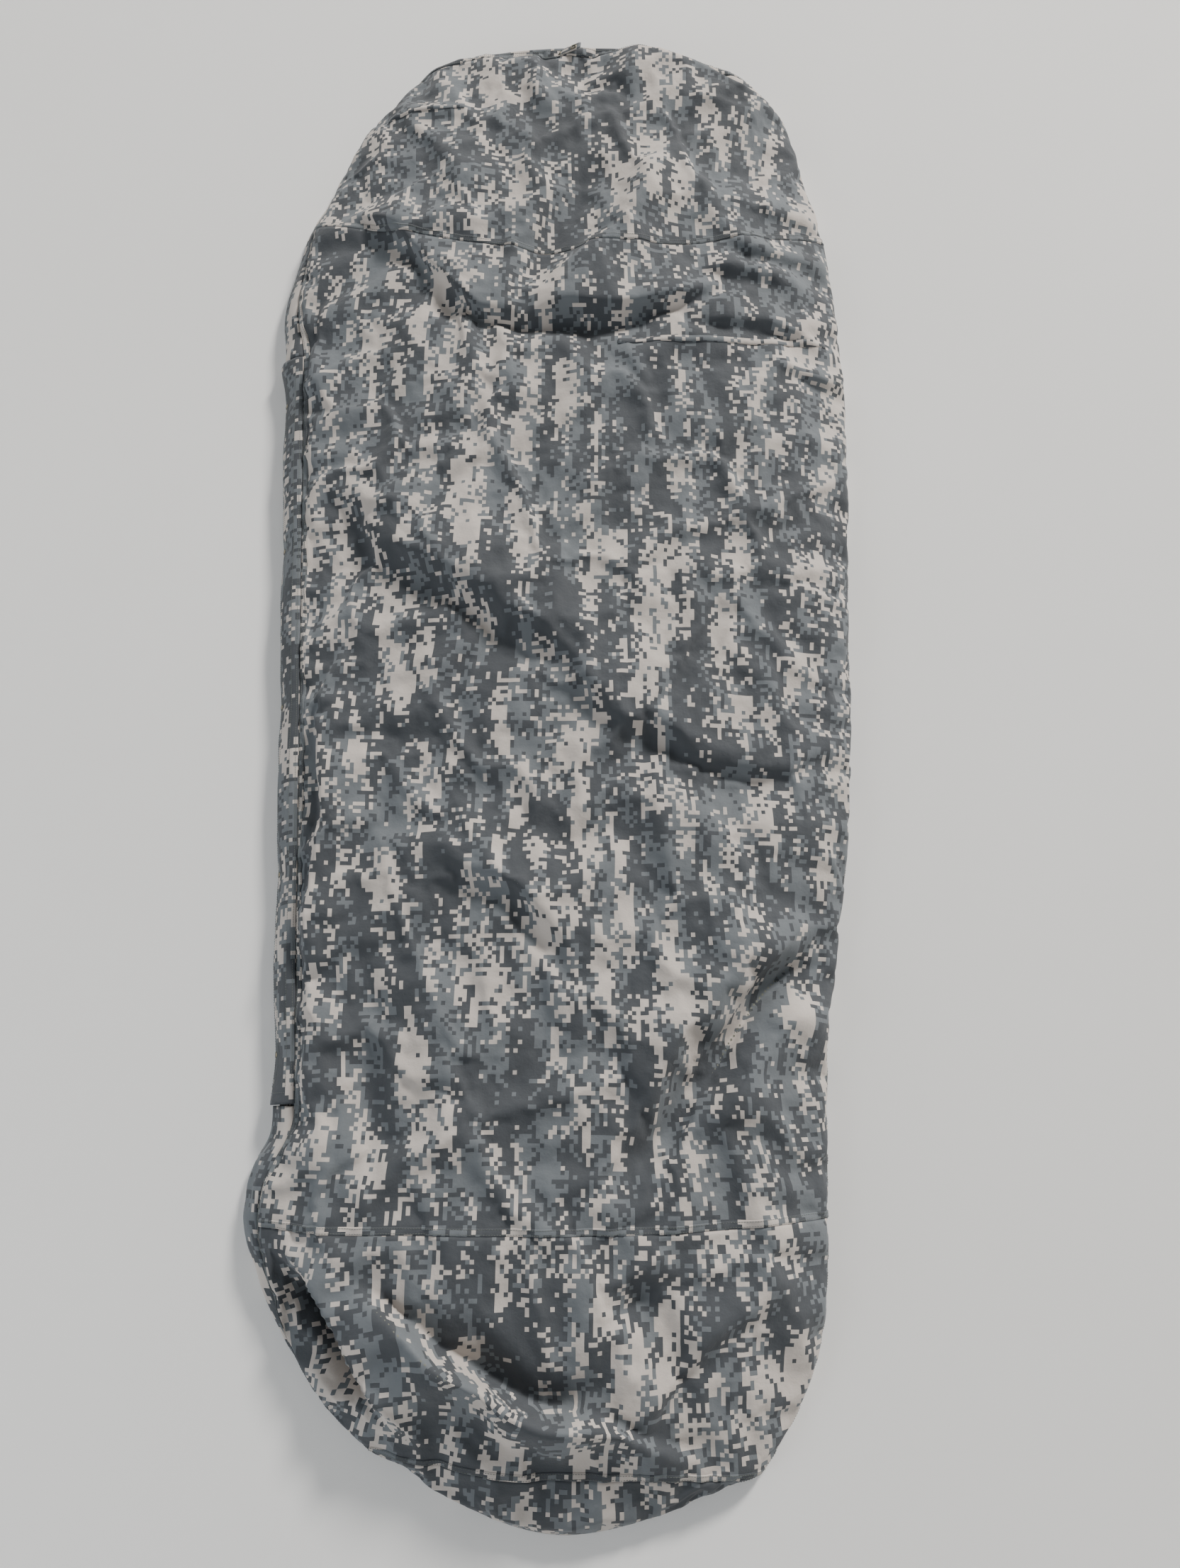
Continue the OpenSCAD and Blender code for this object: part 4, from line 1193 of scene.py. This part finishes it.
# The seam along the right side: two rows of stitches above the floor.
thread = Solid()
for inset in (1.3, 3.2):
    stitch_row(thread, edge_grid, edge_normals, len(edge_grid) - 1 - inset, STITCH_LIFT, slice(4, -12))
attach(thread.make("side_seam_stitches", THREADS), "shell")

# ---------------- fasteners

# Profiles that lathe turns round an axis: radius and height.
CAP = [(0.0, 0.0021), (0.0018, 0.0020), (0.0034, 0.0017), (0.0046, 0.0013), (0.0050, 0.0010),
       (0.0054, 0.0012), (0.0060, 0.0011), (0.0063, 0.0006), (0.0062, 0.0), (0.0058, -0.0006)]  # fmt: skip
EYELET = [(0.0025, -0.0020), (0.0025, 0.0005), (0.0029, 0.0010), (0.0038, 0.0011), (0.0050, 0.0008),
          (0.0056, 0.0002), (0.0056, -0.0004)]  # fmt: skip
TUFT = [(0.00045, 0.0), (0.00042, 0.0003), (0.00020, 0.00045), (0.0, 0.00048)]
solid = Solid()
for s in SNAPS:
    lathe(solid, CAP, on_wall(SNAP_UP, s, 0.0082), OUT)
caps = solid.make("snap_caps", SNAP)
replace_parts(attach(caps, "flap"), "flap_snap_caps")

# These are shown as designed, with a bevel on their edges.
for node in ("flap_snap_sockets", "wall_snap_studs", "snap_tab_sockets", "zip_slider_head", "zip_slider_foot",
             "pull_tab_head", "pull_tab_foot", "zip_stops_head", "zip_stop_foot"):  # fmt: skip
    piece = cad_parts[node]
    piece.data.materials.clear()
    piece.data.materials.append(SNAP if "snap" in node else SLIDER)
    bevel = piece.modifiers.new("bevel", "BEVEL")
    bevel.width = 0.0003
    bevel.segments = 2
    bevel.limit_method = "ANGLE"


def fuzzy_patch(name, node, out, material, body):
    """A square of hook or loop tape: a woven back with rows of small tufts on its face."""
    low, high, start, end, thickness, margin = 0.021, 0.043, 0.525, 0.545, 0.0011, 0.001
    grid = on_wall(np.linspace(low, high, 6)[None, :], np.linspace(start, end, 6)[:, None], out)
    solid = Solid().sheet(grid, flat_print(grid), thickness, inner_slot=1)
    facing = 1 if body == "shell" else -1
    base = out if facing > 0 else out - thickness
    for i, up in enumerate(np.linspace(low + margin, high - margin, 15)):
        for s in np.linspace(start + margin, end - margin, 14):
            lathe(solid, TUFT, on_wall(up, s + (i % 2) * 0.0007, base), OUT * facing, sides=5)
    piece = solid.make(name, material, ZIP_TAPE)
    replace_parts(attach(piece, body), node)


fuzzy_patch("hook_patch", "flap_hook_patch", 0.0064, HOOK, "flap")
fuzzy_patch("loop_patch", "wall_loop_patch", 0.0018, LOOP, "shell")

# Eyelets and their patch at the mouth.
EYELET_X, PATCH_CURVE = 0.014, 0.8
(spot,), (up,) = near_top([(0.0, 1.045)])
centre = spot + up * 0.0022
side = unit(np.cross(np.array([0, 1.0, 0]), up))
forward = np.cross(up, side)
u, v = np.meshgrid(np.linspace(-0.026, 0.026, 14), np.linspace(-0.007, 0.007, 6))
corner = ease((np.abs(u) - 0.022) / 0.004) * 0.0016
patch_grid = centre + u[..., None] * side + (v * (1 - corner / 0.007))[..., None] * forward
patch_grid = patch_grid - (PATCH_CURVE * u**2)[..., None] * up
solid = Solid().sheet(patch_grid, flat_print(patch_grid, (7, 7, 0)), 0.0014)
patch = solid.make("mouth_patch_cloth", CAMO_FLAP)
thread = Solid()
stitch_border(thread, patch_grid, up)
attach(thread.make("mouth_patch_stitches", THREADS), "shell")
declare(patch, ["mouth_patch"])
solid = Solid()
for x in (-EYELET_X, EYELET_X):
    lathe(solid, EYELET, centre + side * x - up * PATCH_CURVE * x**2 + up * 0.0003, up)
eyelets = solid.make("eyelets", SNAP)
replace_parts(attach(eyelets, "shell"), "mouth_eyelets")

# ---------------- inside

tab_places = [(s, y) for y in (0.600, -0.060, -0.760) for s in (-1, 1)]
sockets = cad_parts["snap_tab_sockets"]
points = np.array([v.co for v in sockets.data.vertices])
solid, thread = Solid(), Solid()
for side_sign, y in tab_places:
    near = points[(np.sign(points[:, 0]) == side_sign) & (np.abs(points[:, 1] - y) < 0.05)]
    cx = (near[:, 0].min() + near[:, 0].max()) / 2
    u, v = np.meshgrid(np.linspace(-0.022, 0.022, 16), np.linspace(-0.010, 0.010, 9))
    z = 0.0032 + 0.00012 * np.cos(v * 2 * math.pi / 0.004)
    grid = np.stack([cx + u, y + v, z], -1)
    solid.sheet(grid, flat_print(grid), 0.0012)
    loop = np.array([(-0.019, -0.007), (0.019, -0.007), (0.019, 0.007), (-0.019, 0.007), (-0.019, -0.007)])
    path = even_spacing(loop, 60)
    path = np.column_stack([path[:, 0] + cx, path[:, 1] + y, np.full(len(path), 0.0033)])
    stitches(thread, path, np.tile([0, 0, 1.0], (len(path), 1)))
tabs = solid.make("webbing_tabs", WEBBING)
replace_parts(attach(tabs, "shell"), "snap_tabs")
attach(thread.make("webbing_stitches", THREADS), "shell")

low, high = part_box("blank_label")
u, v = np.meshgrid(np.linspace(low.x, high.x, 20), np.linspace(low.y, high.y, 14))
grid = np.stack([u, v, high.z + 0.0005 * (1 + noise(u * 60, v * 60, 61))], -1)
solid = Solid().sheet(grid, flat_print(grid), 0.0006)
label = solid.make("label_cloth", LABEL)
thread = Solid()
stitch_border(thread, grid, [0, 0, 1.0])
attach(thread.make("label_stitches", THREADS), "shell")
declare(label, ["blank_label"])

# ---------------- stage, light and camera


def area_light(name, place, target, size, watts, colour):
    """A round lamp that faces the target."""
    data = bpy.data.lights.new(name, "AREA")
    data.shape = "DISK"
    data.size, data.energy, data.color = size, watts, colour
    lamp = bpy.data.objects.new(name, data)
    lamp.location = place
    lamp.rotation_euler = (Vector(target) - Vector(place)).to_track_quat("-Z", "Y").to_euler()
    bpy.context.scene.collection.objects.link(lamp)


def stage_floor():
    """A round pale floor whose rim curves up into a wall, all in one surface."""
    n = Nodes("pale_floor", roughness=0.85)
    tone = n.mix(n.noise(n.in_object(), 2.0, 3.0), srgb(236, 236, 234), srgb(243, 243, 242))
    n.put(n.surface, "Emission Color", (1.0, 1.0, 1.0, 1.0))
    n.put(n.surface, "Emission Strength", 0.12)
    flat, curve, wall = 10.0, 5.0, 14.0
    turn = np.linspace(0, math.pi / 2, 16)
    outline = [(0.0, 0.0), (flat / 2, 0.0)]
    outline += [(flat + curve * math.sin(a), curve * (1 - math.cos(a))) for a in turn]
    outline.append((flat + curve, wall))
    ground = lathe(Solid(), outline, (0, 0, -0.0006), (0, 0, 1.0), sides=96).make("ground", n.finish(tone))


stage_floor()
area_light("key", (5.3, 8.1, 5.6), (0, 0, 0), 1.9, 1560, (1.0, 0.96, 0.91))
area_light("fill", (-2.8, -1.8, 1.6), (0, 0, 0), 2.0, 26, (0.80, 0.89, 1.0))
world = bpy.data.worlds.new("soft_daylight")
bpy.context.scene.world = world
world.use_nodes = True
sky = world.node_tree.nodes["Background"]
sky.inputs["Color"].default_value = (0.88, 0.94, 1.0, 1)
sky.inputs["Strength"].default_value = 0.11

camera_data = bpy.data.cameras.new("camera")
camera_data.lens = 27.1
camera_data.sensor_width = 36
camera = bpy.data.objects.new("camera", camera_data)
camera.location = (0.038, -0.575, 1.62)
camera.rotation_euler = (math.radians(14.4), 0, 0)
bpy.context.scene.collection.objects.link(camera)
bpy.context.scene.camera = camera
